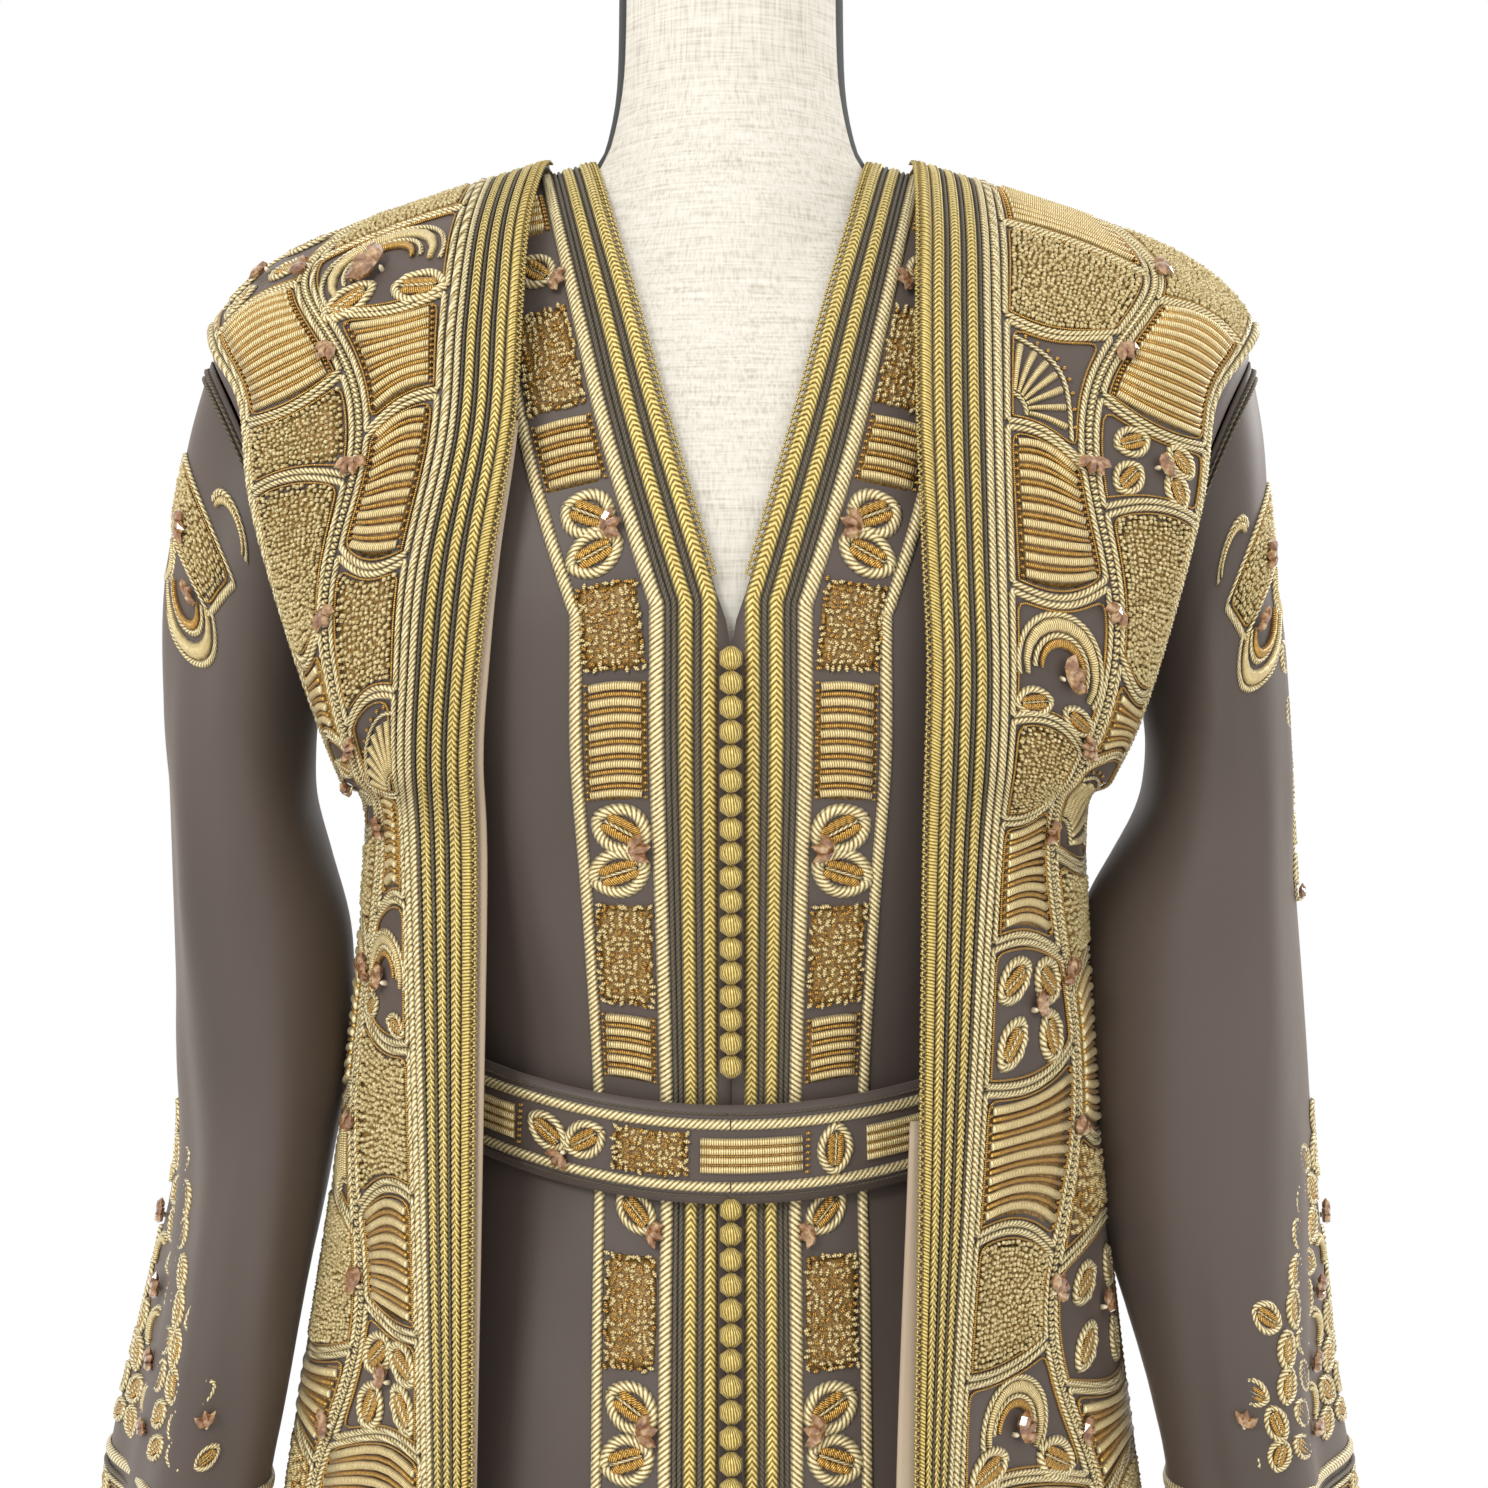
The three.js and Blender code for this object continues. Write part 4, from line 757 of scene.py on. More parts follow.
def scatter(at, gap, off):
    """Points over a field, their counts across and along, and its margins."""
    wide, tall = spans(at)
    a, b = off / wide, off / tall
    nu = max(int(wide * (1 - 2 * a) / gap), 2)
    nv = max(int(tall * (1 - 2 * b) / gap), 2)
    u, v = np.meshgrid((np.arange(nu) + 0.5) / nu, (np.arange(nv) + 0.5) / nv)
    u = a + (1 - 2 * a) * (u + rng.uniform(-0.3, 0.3, u.shape) / nu)
    v = b + (1 - 2 * b) * (v + rng.uniform(-0.3, 0.3, v.shape) / nv)
    return at(u.ravel(), v.ravel()), a, b


def knots(work, at, gap=2.2, off=4.8):
    """A field packed with knot stitches, none quite alike."""
    centres, a, b = scatter(at, gap, off)
    ground(work, at, a, b)
    size = rng.uniform(1.0, 1.35, len(centres))
    work.beads(centres, gap * size, gap * 0.9 * size, 1.9 * size,
               rng.uniform(0, np.pi, len(centres)), KNOT, sides=4)


def basket(work, at, gap=3.1, off=4.8):
    """Short pale bugles laid every way, small amber ones between them."""
    centres, a, b = scatter(at, gap, off)
    ground(work, at, a, b)
    angle = rng.uniform(0, np.pi, len(centres))
    pale = rng.uniform(0, 1, len(centres)) < 0.68
    work.beads(centres[pale], gap * 1.6, gap * 0.74, 2.2, angle[pale], BAR, sides=4)
    work.beads(centres[~pale], gap * 1.4, gap * 0.8, 1.8, angle[~pale], BULLION, sides=4)


def turned(shape, centre, angle):
    """Points turned by an angle and moved to a centre."""
    c, s = math.cos(angle), math.sin(angle)
    return stack(centre[0] + shape[:, 0] * c - shape[:, 1] * s,
                 centre[1] + shape[:, 0] * s + shape[:, 1] * c)


def arc(centre, radius, angle):
    """Points of a circle."""
    return np.array(centre) + radius * stack(np.cos(angle), np.sin(angle))


def leaf(work, centre, angle, length, width):
    """A pointed leaf: scalloped satin outline, a vein and slanting amber stitches."""
    tau = np.linspace(0, 2 * np.pi, 33)
    rim = stack(length / 2 * np.cos(tau),
                width / 2 * np.sin(tau) * np.abs(np.sin(tau)) ** 0.4) * 0.95
    work.ribbon(turned(rim, centre, angle), 0.3 * width, 2.0, ROPE, pitch=2.8, relief=0.4, spread=4)
    vein = stack(np.linspace(-0.34, 0.34, 5) * length, 0.0)
    work.ribbon(turned(vein, centre, angle), 0.1 * width, 1.6, ROPE, spread=3)
    x = np.repeat(np.linspace(-0.25, 0.25, 5), 2) * length
    hand = np.tile([1.0, -1.0], 5)
    seeds = stack(x, hand * 0.16 * width * (1 - (2.2 * x / length) ** 2 * 0.6))
    work.beads(turned(seeds, centre, angle), 0.3 * length, 0.24 * width, 1.5,
               angle + hand * 0.5, BULLION, sides=5)


def floret(work, centre, size=5.5, petals=3, angle=0.5):
    """Long cut-glass drops fanned from a bead."""
    size = size * 1.3
    turns = angle + (np.arange(petals) - (petals - 1) / 2) * 0.72
    work.crystals(arc(centre, 0.52 * size, turns), size, size * 0.5, turns, base=1.5)
    work.beads([centre], 2.6, 2.6, 3.6, 0.0, PEARL)


def crescent(work, centre, radius, start, end, width=4.0, look=BAR):
    """A padded arc that thins towards its ends, with a rope along its outer edge."""
    a = np.linspace(start, end, 13)
    swell = 0.35 + 0.65 * np.sin(np.pi * np.linspace(0, 1, 13))
    work.ribbon(arc(centre, radius, a), width * swell, 2.0, look, spread=5)
    a = np.linspace(start, end, max(int(radius * abs(end - start) / 0.9), 8))
    work.ribbon(arc(centre, radius + width * 0.62, a), 2.8, 1.6, ROPE, pitch=2.6, slant=1.5,
                relief=0.4, spread=4)


def fan(work, at):
    """Bars that spread from the lower inner corner of a field, and rope arches across them."""
    wide, tall = spans(at)

    def spread_out(share, angle):
        return at(0.1 + 0.8 * share * np.cos(angle), 0.1 + 0.8 * share * np.sin(angle))

    count = 7
    width = 0.0105 * (wide + tall) * count * (0.6 + 0.5 * np.linspace(0, 1, 6)) * 0.5
    for k in range(count):
        angle = (k + 0.5) / count * np.pi / 2
        work.ribbon(spread_out(np.linspace(0.26, 0.84, 6), angle), width, 1.9, BAR, spread=5)
    for share in (0.22, 0.92):
        work.ribbon(spread_out(share, np.linspace(0, np.pi / 2, 40)), 2.2, 1.6, **THIN_ROPE)
    angle = np.linspace(0.15, 1.42, 9)
    work.beads(spread_out(0.99, angle), 2.4, 2.0, 1.6, angle, BULLION)


def sprig(work, at):
    """Leaves in pairs on bare cloth, with a cut-glass floret."""
    wide, tall = spans(at)
    length = min(0.5 * wide, 0.5 * tall, 21.0)
    for u, v, angle in ((0.27, 0.30, 0.9), (0.70, 0.26, 2.1), (0.30, 0.72, 0.5), (0.72, 0.70, 2.5)):
        leaf(work, at(u, v), angle, length, length * 0.7)
    floret(work, at(0.5, 0.5), 6.5)


def crescents(work, at):
    """Padded arcs one inside the other round a floret, with a leaf at two corners."""
    wide, tall = spans(at)
    radius = 0.36 * min(wide, tall)
    centre = at(0.5, 0.46)
    crescent(work, centre, radius, -0.6, 3.4, 0.34 * radius)
    crescent(work, centre, 0.6 * radius, -0.4, 3.2, 0.26 * radius, BULLION)
    floret(work, at(0.5, 0.4), 0.5 * radius)
    leaf(work, at(0.25, 0.14), 0.3, 0.36 * wide, 0.22 * wide)
    leaf(work, at(0.78, 0.14), 2.7, 0.36 * wide, 0.22 * wide)


def puffs(work, path, size=3.0):
    """A row of small padded puffs along a path."""
    length = travelled(path)
    where = np.arange(size / 2, length[-1], size * 0.95)
    centres = stack(*(np.interp(where, length, line) for line in path.T))
    work.beads(centres, size, size * 1.25, 1.9, np.pi / 2, ROPE)


FILLS = {"ladder": ladder, "knots": knots, "basket": basket, "fan": fan, "sprig": sprig,
         "crescents": crescents}


# Trimmings

def cord_runs(end, step, start=15.5):
    """Heights along a trimming: sparse where it is plain, close where it shows."""
    plain_runs = np.arange(start, FINE_FROM, 12.0)
    return np.concatenate([plain_runs, np.arange(FINE_FROM, end, step), [end]])


def parallel_cords(work, layer, side, start_of, width_of, parts):
    """Cords side by side up a front edge; each part has its shares of the width and a look."""
    shapes = {
        BRAID: dict(height=1.9, pitch=2.6, slant=7.0, plait=True, spread=5, relief=0.42),
        DARK: dict(height=1.1, spread=4),
        ROPE: dict(height=2.0, pitch=2.4, slant=4.5, spread=5, relief=0.45),
        CROCHET: dict(height=1.6, pitch=2.8, slant=1.5, spread=5, relief=0.5),
    }
    end = layer.runs[-1] - 0.5
    for low, high, look in parts:
        shape = dict(shapes[look])
        runs = cord_runs(end, shape["pitch"] / 3 if "pitch" in shape else 3.0)
        row = layer.row(layer.t_at(runs))
        width = width_of(row, side)
        x = start_of(row, side) + width * (low + high) / 2
        slope = np.gradient(x, runs)
        wide = width * (high - low) / np.sqrt(1 + slope ** 2)
        if "pitch" in shape:
            shape["relief"] = np.where(runs > FINE_FROM, shape["relief"], 0.0)
        work.ribbon(stack(x, runs), wide, look=look, **shape)


def picots(work, layer, start_of, side, first, last, reach=2.6, pitch=3.3):
    """Crocheted loops that stand out from an edge towards the middle."""
    runs = np.arange(first, last, pitch)
    row = layer.row(layer.t_at(runs))
    edge = start_of(row, side)
    a = np.linspace(-np.pi * 0.5, np.pi * 0.5, 6)
    for x, run in zip(edge, runs):
        loop = stack(x - reach * np.cos(a), run + pitch * 0.46 * np.sin(a))
        work.ribbon(loop, 1.1, 1.1, CROCHET, spread=3)


def dress_start(row, side=RIGHT):
    return np.maximum(row["edge"] + 0.2, 5.6)


def dress_braid_width(row, side=RIGHT):
    return 28.4 * row["trim"]


def band_start(row, side=RIGHT):
    return dress_start(row) + dress_braid_width(row)


def band_width(row, side=RIGHT):
    return 33.0 * row["trim"]


def robe_edge(row, side):
    return of_side(row, "edge", side)


def robe_braid_width(row, side):
    return of_side(row, "braid", side)


def robe_field_start(row, side):
    return robe_edge(row, side) + robe_braid_width(row, side)


# Cloth

def creases(x, z, marks):
    """Sum of soft ridges. Each runs from (x0, z0) to (x1, z1), has a width and a height, and
    fades towards both ends."""
    total = np.zeros_like(x)
    for x0, z0, x1, z1, width, height in marks:
        dx, dz = x1 - x0, z1 - z0
        share = ((x - x0) * dx + (z - z0) * dz) / (dx * dx + dz * dz)
        away = ((x - x0) * dz - (z - z0) * dx) / math.hypot(dx, dz)
        total += height * np.exp(-(away / width) ** 2) * smooth(share * 3) * smooth((1 - share) * 3)
    return total


def seam_square(layer, t, phi, normal):
    """Directions kept level with Y where a front and a back meet."""
    row = layer.row(t)
    meets = (t > layer.last - 1e-6) | ((phi > QUARTER - 1e-6) & (row["reach"] < 1))
    flat = unit(normal * [1, 0, 1])
    return np.where(meets[..., None], flat, normal)


def wall(name, outer, normal, marks, thickness, flip=False):
    """Satin cloth of one thickness, its outer side raised by creases."""
    outer = outer + normal * creases(outer[..., 0], outer[..., 2], marks)[..., None]
    return shell(name, outer, outer - normal * thickness, SATIN, flip=flip)


def front_panel(name, layer, side, edge_of, thickness, marks, rows=128, columns=36):
    """A front from its edge round to the side seam, hem to shoulder."""
    t = layer.steps_up(rows)
    first = layer.angle(t, edge_of(layer.row(t), side), side)[:, None]
    phi = first + (QUARTER - first) * np.linspace(0, 1, columns)[None, :]
    t = np.broadcast_to(t[:, None], phi.shape)
    normal = seam_square(layer, t, phi, layer.normal(t, phi, side, FRONT))
    return wall(name, layer.point(t, phi, side, FRONT), normal, marks, thickness, side == LEFT)


def back_panel(name, layer, thickness, marks, rows=108, columns=73):
    """A back from the right side seam over the middle to the left one. Round the nape its
    directions turn upwards."""
    t = layer.steps_up(rows)[:, None]
    u = np.linspace(-1, 1, columns)[None, :]
    side = np.where(u <= 0, RIGHT, LEFT) * np.ones_like(t)
    phi = np.abs(u) * QUARTER * np.ones_like(t)
    t = np.broadcast_to(t, phi.shape)
    outer = layer.point(t, phi, side, BACK)
    normal = seam_square(layer, t, phi, layer.normal(t, phi, side, BACK))
    nape = unit(outer * [1, 1, 0] + [0, 0, 20])
    high = t > layer.last - 2
    inside = (np.abs(outer[..., 0]) < np.maximum(layer.row(t)["neck"], 1) + 4) & high
    share = smooth((t - (layer.last - 2)) / 0.8) * inside
    normal = unit(normal * (1 - share[..., None]) + nape * share[..., None])
    return wall(name, outer, normal, marks, thickness)


# Creases of each panel: (x0, z0, x1, z1, width, height) in mm.
DRESS_MARKS = {
    LEFT: [(-70, 1030, -96, 1180, 9, 1.6), (-92, 1020, -128, 1120, 7, 1.3),
           (-82, 960, -104, 760, 10, 2.4), (-118, 950, -150, 700, 12, 3.0),
           (-96, 700, -150, -380, 16, 5.0), (-72, 930, -78, 820, 6, 1.2)],
    RIGHT: [(72, 1025, 88, 1150, 8, 1.3), (96, 1025, 126, 1150, 8, 1.5), (78, 965, 92, 800, 9, 2.0),
            (112, 950, 140, 720, 12, 2.8), (90, 690, 132, -360, 15, 4.4)],
}
DRESS_BACK_MARKS = [
    (-60, 960, -80, 640, 14, 3.0), (20, 970, 30, 560, 12, 2.4), (92, 950, 120, 600, 14, 2.8),
    (-20, 900, -30, 380, 15, 3.2), (70, 640, 84, 200, 18, 4.0),
]
ROBE_BACK_MARKS = [
    (-150, 1340, -96, 1190, 12, 2.4), (142, 1330, 104, 1210, 11, 2.1), (-70, 1180, -92, 1060, 10, 2.0),
    (66, 1170, 84, 1040, 11, 2.2), (-44, 1020, -84, -420, 15, 6.6), (12, 980, 36, -400, 17, 5.6),
    (92, 1030, 152, -420, 16, 7.0), (-128, 1000, -206, -400, 15, 6.4), (-10, 640, -18, 90, 16, 5.0),
    (60, 600, 74, -260, 14, 5.0), (150, 900, 236, -420, 16, 6.2), (-96, 520, -128, -300, 14, 5.4),
]
# Hanging folds below the embroidery of the robe fronts, strongest at the hem.
ROBE_MARKS = {
    LEFT: [(-156, 770, -196, -380, 18, 8.0), (-205, 740, -262, -420, 17, 7.0),
           (-140, 560, -154, -320, 11, 3.6)],
    RIGHT: [(120, 770, 134, -380, 15, 6.0), (164, 750, 214, -420, 19, 8.0),
            (146, 480, 166, -260, 12, 4.4)],
}


def dress_edge(row, side):
    return np.maximum(row["edge"], GAP / 2)


for word, side in SIDES:
    piece = front_panel(f"inner_dress_front_{word}", dress, side, dress_edge, DRESS_WALL,
                        DRESS_MARKS[side])
    finish_piece(piece, "satin", f"dress_front_{word}")

    piece = front_panel(f"outer_robe_front_{word}", robe, side, robe_edge, ROBE_WALL,
                        ROBE_MARKS[side])
    finish_piece(piece, "embroidered", f"robe_front_{word}")

piece = back_panel("inner_dress_back", dress, DRESS_WALL, DRESS_BACK_MARKS)
finish_piece(piece, "satin", "dress_back")
piece = back_panel("outer_robe_back", robe, ROBE_WALL, ROBE_BACK_MARKS)
finish_piece(piece, "satin", "robe_back")


# Sleeves: creases are given in mm round the sleeve from its outer line and in height. The
# last two meet on the inner line, where the cloth hangs full. The right sleeve is so full
# there that it goes up to 7 mm into the robe between heights 930 and 1088.
SLEEVE_MARKS = {
    LEFT: [(20, 1290, 34, 1130, 10, 2.2), (52, 1240, 46, 1040, 12, 2.6), (10, 1060, 30, 900, 12, 2.4),
           (62, 1010, 80, 800, 13, 3.0), (34, 960, 30, 770, 12, 2.4), (-60, 1200, -50, 960, 16, 3.4),
           (-84, 1080, -100, 800, 18, 4.0), (-30, 1150, -34, 930, 13, 2.4), (96, 1120, 110, 860, 16, 3.0),
           (150, 1240, 178, 840, 26, 5.0), (-150, 1240, -178, 840, 26, 5.0)],
    RIGHT: [(16, 1270, 26, 1090, 10, 2.0), (58, 1200, 60, 1000, 13, 2.8), (24, 1020, 40, 850, 12, 2.4),
            (84, 980, 96, 790, 14, 3.0), (-50, 1190, -60, 930, 15, 3.2), (-96, 1050, -88, 790, 18, 3.8),
            (48, 900, 44, 760, 10, 2.0),
            (150, 1240, 178, 840, 28, 15.0), (-150, 1240, -178, 840, 28, 15.0)],
}


def sleeve_radius(t):
    """Mean radius of a ring of the sleeve, by which its pattern is turned into mm."""
    return np.interp(t, [0, 4, 11], [46, 49, 64])


def sleeve_place(side):
    """Lays (mm round from the outer line towards the front, height, lift) on a sleeve."""
    def place(points):
        t = np.interp(-points[..., 1], -SLEEVE["outZ"], SLEEVE_RINGS)
        turn = points[..., 0] / sleeve_radius(t)
        return sleeve_point(t, turn, side) + sleeve_normal(t, turn, side) * points[..., 2:3]
    return place


def sleeve_shell(name, side, rows=92, columns=64):
    """A tube from the cuff up to the armhole seam."""
    t = np.linspace(SLEEVE_RINGS[-1], 0.06, rows)[:, None]
    turn = -2 * np.pi * np.arange(columns)[None, :] / columns
    round_mm = (np.mod(turn + np.pi, 2 * np.pi) - np.pi) * sleeve_radius(t)
    heights = np.interp(t, SLEEVE_RINGS, SLEEVE["outZ"]) * np.ones_like(turn)
    t, turn = np.broadcast_arrays(t, turn)
    normal = sleeve_normal(t, turn, side)
    rise = creases(round_mm, heights, SLEEVE_MARKS[side])
    outer = sleeve_point(t, turn, side) + normal * rise[..., None]
    return shell(name, outer, outer - normal * DRESS_WALL, SATIN, wrapped=True, flip=side == LEFT)


for word, side in SIDES:
    piece = sleeve_shell(f"inner_dress_sleeve_{word}", side)
    finish_piece(piece, "satin", f"dress_sleeve_{word}")


# Robe lining: a narrow facing behind each front edge, showing a few millimetres past it.
LINING_OUTSIDE, LINING_INSIDE = 2.5, 3.4       # depths of its two skins behind the robe's skin
for word, side, low, high in (("left", LEFT, 860, 1300), ("right", RIGHT, 17, 1010)):
    runs = np.linspace(robe.run_at(low), robe.run_at(high), 90)
    t = robe.t_at(runs)[:, None]
    row = robe.row(t)
    ends = (robe_edge(row, side) - of_side(row, "peep", side) - GAP, robe_field_start(row, side))
    x = ends[0] + (ends[1] - ends[0]) * np.linspace(0, 1, 12)[None, :]
    phi = robe.angle(t, x, side)
    t = np.broadcast_to(t, phi.shape)
    middle = robe.point(t, phi, side, FRONT)
    normal = robe.normal(t, phi, side, FRONT)
    piece = shell(f"robe_lining_edge_{word}", middle - normal * LINING_OUTSIDE,
                  middle - normal * LINING_INSIDE, LINING, flip=side == LEFT)
    finish_piece(piece, "lining", f"robe_lining_{word}")


# Front trimmings of the inner dress and of the robe

DRESS_CORDS = [(0.0, 0.235, BRAID), (0.245, 0.33, DARK), (0.34, 0.575, BRAID),
               (0.585, 0.665, DARK), (0.67, 0.75, DARK), (0.76, 0.995, ROPE)]
ROBE_CORDS = [(0.0, 0.17, CROCHET), (0.18, 0.35, BRAID), (0.36, 0.41, DARK), (0.42, 0.585, BRAID),
              (0.595, 0.645, DARK), (0.655, 0.82, BRAID), (0.83, 0.875, DARK), (0.88, 1.0, ROPE)]

for word, side in SIDES:
    work = Work()
    parallel_cords(work, dress, side, dress_start, dress_braid_width, DRESS_CORDS)
    picots(work, dress, dress_start, side, dress.run_at(1236), dress.runs[-1] - 3)
    piece = work.build(f"dress_front_braids_{word}", dress.by_x(side), side == LEFT)
    finish_piece(piece, "gold", f"dress_braid_{word}")

    work = Work()
    parallel_cords(work, robe, side, robe_edge, robe_braid_width, ROBE_CORDS)
    picots(work, robe, robe_edge, side, robe.run_at(845), robe.runs[-1] - 3, reach=1.8, pitch=3.0)
    piece = work.build(f"robe_front_braids_{word}", robe.by_x(side), side == LEFT)
    finish_piece(piece, "gold", f"robe_braid_{word}")


# Embroidered bands of the inner dress: fields from top to bottom with their heights. Below
# the last one three fields repeat down to the hem.
BAND_FIELDS = [
    (1418, 1396, "ladder"), (1392, 1366, "leaf"), (1362, 1315, "basket"), (1312, 1281, "ladder"),
    (1277, 1243, "leaves"), (1239, 1197, "basket"), (1194, 1143, "ladder"), (1140, 1101, "leaves"),
    (1097, 1050, "basket"), (1047, 1016, "ladder"), (976, 951, "leaf"), (948, 902, "basket"),
    (898, 858, "leaves"), (854, 806, "ladder"),
]
BAND_STEP = 148
for k in range(5):
    top = 806 - k * BAND_STEP
    BAND_FIELDS += [(top - 4, top - 48, "basket"), (top - 52, top - 92, "leaves"),
                    (top - 96, top - BAND_STEP, "ladder")]


def band_field(work, top, bottom, kind):
    """One field between the two ropes of a band."""
    runs = dress.run_at(np.array([bottom, top]))
    row = dress.row(dress.t_at(runs))
    inner = band_start(row) + 0.4
    outer = band_start(row) + 0.825 * band_width(row)
    at = patch([(inner[0], runs[0]), (outer[0], runs[0]), (outer[1], runs[1]), (inner[1], runs[1])])
    if kind == "ladder":
        ladder(work, at, gap=6.4 if top > 810 else 8.0, off=0.3)
    elif kind == "basket":
        basket(work, at, gap=2.7 if top > 810 else 4.6, off=0.3)
    else:
        wide, tall = spans(at)
        length = min(0.92 * wide, 0.6 * tall) if kind == "leaves" else 0.8 * wide
        if kind == "leaves":
            leaf(work, at(0.46, 0.76), 0.55, length, 0.8 * length)
            leaf(work, at(0.54, 0.25), -0.35, length, 0.8 * length)
            floret(work, at(0.34, 0.52), 7.5, 3, 2.9)
        else:
            leaf(work, at(0.42, 0.5), 0.8, length, 0.7 * length)
            floret(work, at(0.2, 0.24), 6.0, 3, 3.5)


for word, side in SIDES:
    work = Work()
    parallel_cords(work, dress, side, band_start, band_width, [(0.83, 1.0, ROPE)])
    for top, bottom, kind in BAND_FIELDS:
        band_field(work, top, max(bottom, 22), kind)
    piece = work.build(f"dress_embroidered_band_{word}", dress.by_x(side), side == LEFT)
    finish_piece(piece, "embroidered", f"dress_band_{word}")


# Robe fronts: two lanes of fields beside the braids. The breaks between the fields have a
# height at the lane's inner and outer edge. The layout and its motifs are plain common ones.
INNER_BREAKS = [
    (800, 806), (858, 850), (906, 916), (962, 950), (1022, 1034), (1078, 1066), (1132, 1142),
    (1186, 1176), (1242, 1254), (1312, 1300), (1366, 1376), (1428, 1420), (1490, 1490),
]
OUTER_BREAKS = [
    (806, 800), (838, 846), (894, 884), (942, 954), (1004, 992), (1052, 1062), (1112, 1100),
    (1166, 1176), (1226, 1216), (1282, 1292), (1340, 1330), (1402, 1412), (1490, 1488),
]
BREAK_BOWS = [0, 7, -5, 8, -7, 6, -6, 9, -8, 6, -7, 5, 0]
ARMHOLE_STRIP = 7        # left free of fields for the rope at the outer edge
INNER_KINDS = ["ladder", "crescents", "knots", "ladder", "sprig", "ladder",
               "knots", "crescents", "ladder", "fan", "knots", "ladder"]
OUTER_KINDS = ["knots", "ladder", "sprig", "basket", "ladder", "knots",
               "fan", "ladder", "knots", "sprig", "ladder", "knots"]


def lane_middle(run, width):
    """The wavy line between the lanes."""
    return width * (0.5 + 0.1 * np.sin(run / 31.0))


def lane_field(lane, low, high, bows, width_at, end):
    """A field of a lane between two bowed breaks, its sides following the lane."""
    def at(u, v):
        u, v = np.broadcast_arrays(np.asarray(u, float), np.asarray(v, float))
        arch = np.sin(np.pi * u)
        bottom = low[0] + (low[1] - low[0]) * u + bows[0] * arch
        top = high[0] + (high[1] - high[0]) * u + bows[1] * arch
        run = np.minimum(bottom + (top - bottom) * v, end)
        width = width_at(run) - ARMHOLE_STRIP
        middle = lane_middle(run, width)
        inner = 5 + (middle - 7) * u
        outer = middle + 2 + (width - middle - 2) * u
        return stack(outer if lane else inner, run)
    return at


def robe_fields(word, side):
    """The embroidery of one robe front: fields in two lanes, puffs between them, ropes at
    their edges and florets on the line between."""
    place, width_at = robe.by_arc(side, robe_field_start)
    work = Work()
    shift, turn = (0, 0) if side == RIGHT else (14, 3)
    end = robe.runs[-1] - 8
    lanes = ((INNER_BREAKS, INNER_KINDS), (OUTER_BREAKS, OUTER_KINDS))
    for lane, (breaks, kinds) in enumerate(lanes):
        ends = np.array(breaks, float)
        ends[1:] += shift
        for k in range(len(kinds)):
            at = lane_field(lane, ends[k], ends[k + 1], BREAK_BOWS[k:k + 2], width_at, end)
            outline(work, at)
            FILLS[kinds[(k + turn) % len(kinds)]](work, at)
    runs = np.arange(800, end, 1.05)
    width = width_at(runs) - ARMHOLE_STRIP
    puffs(work, stack(lane_middle(runs, width), runs))
    for across, wide in ((width + 3.5, 5.0), (0 * width + 2.4, 4.2)):
        work.ribbon(stack(across, runs), wide, 2.2, **THICK_ROPE)
    for k, run in enumerate(np.arange(872, end - 30, 62.0)):
        at_line = lane_middle(run, width_at(run) - ARMHOLE_STRIP)
        floret(work, (at_line, run), 7.0, 3 + k % 2, 0.7 * k)
    finish_piece(work.build(f"robe_embroidery_{word}", place, side == LEFT), "embroidered")


for word, side in SIDES:
    robe_fields(word, side)


# Edges of the robe's armholes behind, and braids round the napes
for word, side in SIDES:
    work = Work()
    t = np.linspace(5.3, 12.9, 420)
    half = of_side(robe.row(t), "side", side)
    runs = np.interp(t, robe.ts, robe.runs)
    work.ribbon(stack(half * np.sin(QUARTER - 0.06), runs), 5.0, 2.2, **THICK_ROPE)
    piece = work.build(f"robe_armhole_edge_{word}", robe.by_x(side, BACK), side == RIGHT)
    finish_piece(piece, "gold")


def nape_place(layer, half):
    """Lays (mm round the nape from the left shoulder seam, mm below its edge, lift) on the
    back: a quarter ellipse each side, its distance from the edge taken down the cloth."""
    def place(points):
        turn = points[..., 0] / half
        off = points[..., 1]
        side = np.where(turn < QUARTER, LEFT, RIGHT)
        across = (half + off) * np.abs(np.cos(turn))
        down = off * np.sin(turn)
        ts = np.linspace(layer.last, layer.last - 2.6, 53)
        shape = across.shape + (len(ts),)
        grid_t = np.broadcast_to(ts, shape)
        phi = layer.angle(grid_t, across[..., None], side[..., None])
        line = layer.point(grid_t, phi, side[..., None], BACK)
        length = travelled(line)
        passed = np.clip((length < down[..., None]).sum(-1), 1, len(ts) - 1)
        before = np.take_along_axis(length, (passed - 1)[..., None], -1)[..., 0]
        after = np.take_along_axis(length, passed[..., None], -1)[..., 0]
        share = np.clip((down - before) / np.maximum(after - before, 1e-6), 0, 1)[..., None]
        a = np.take_along_axis(line, (passed - 1)[..., None, None], -2)[..., 0, :]
        b = np.take_along_axis(line, passed[..., None, None], -2)[..., 0, :]
        base = a * (1 - share) + b * share
        rise = 20 + 100 * (np.abs(base[..., 0]) / half) ** 4
        outward = unit(stack(base[..., 0], base[..., 1] + 4, rise))
        return base + outward * (points[..., 2:3] + 0.4)
    return place


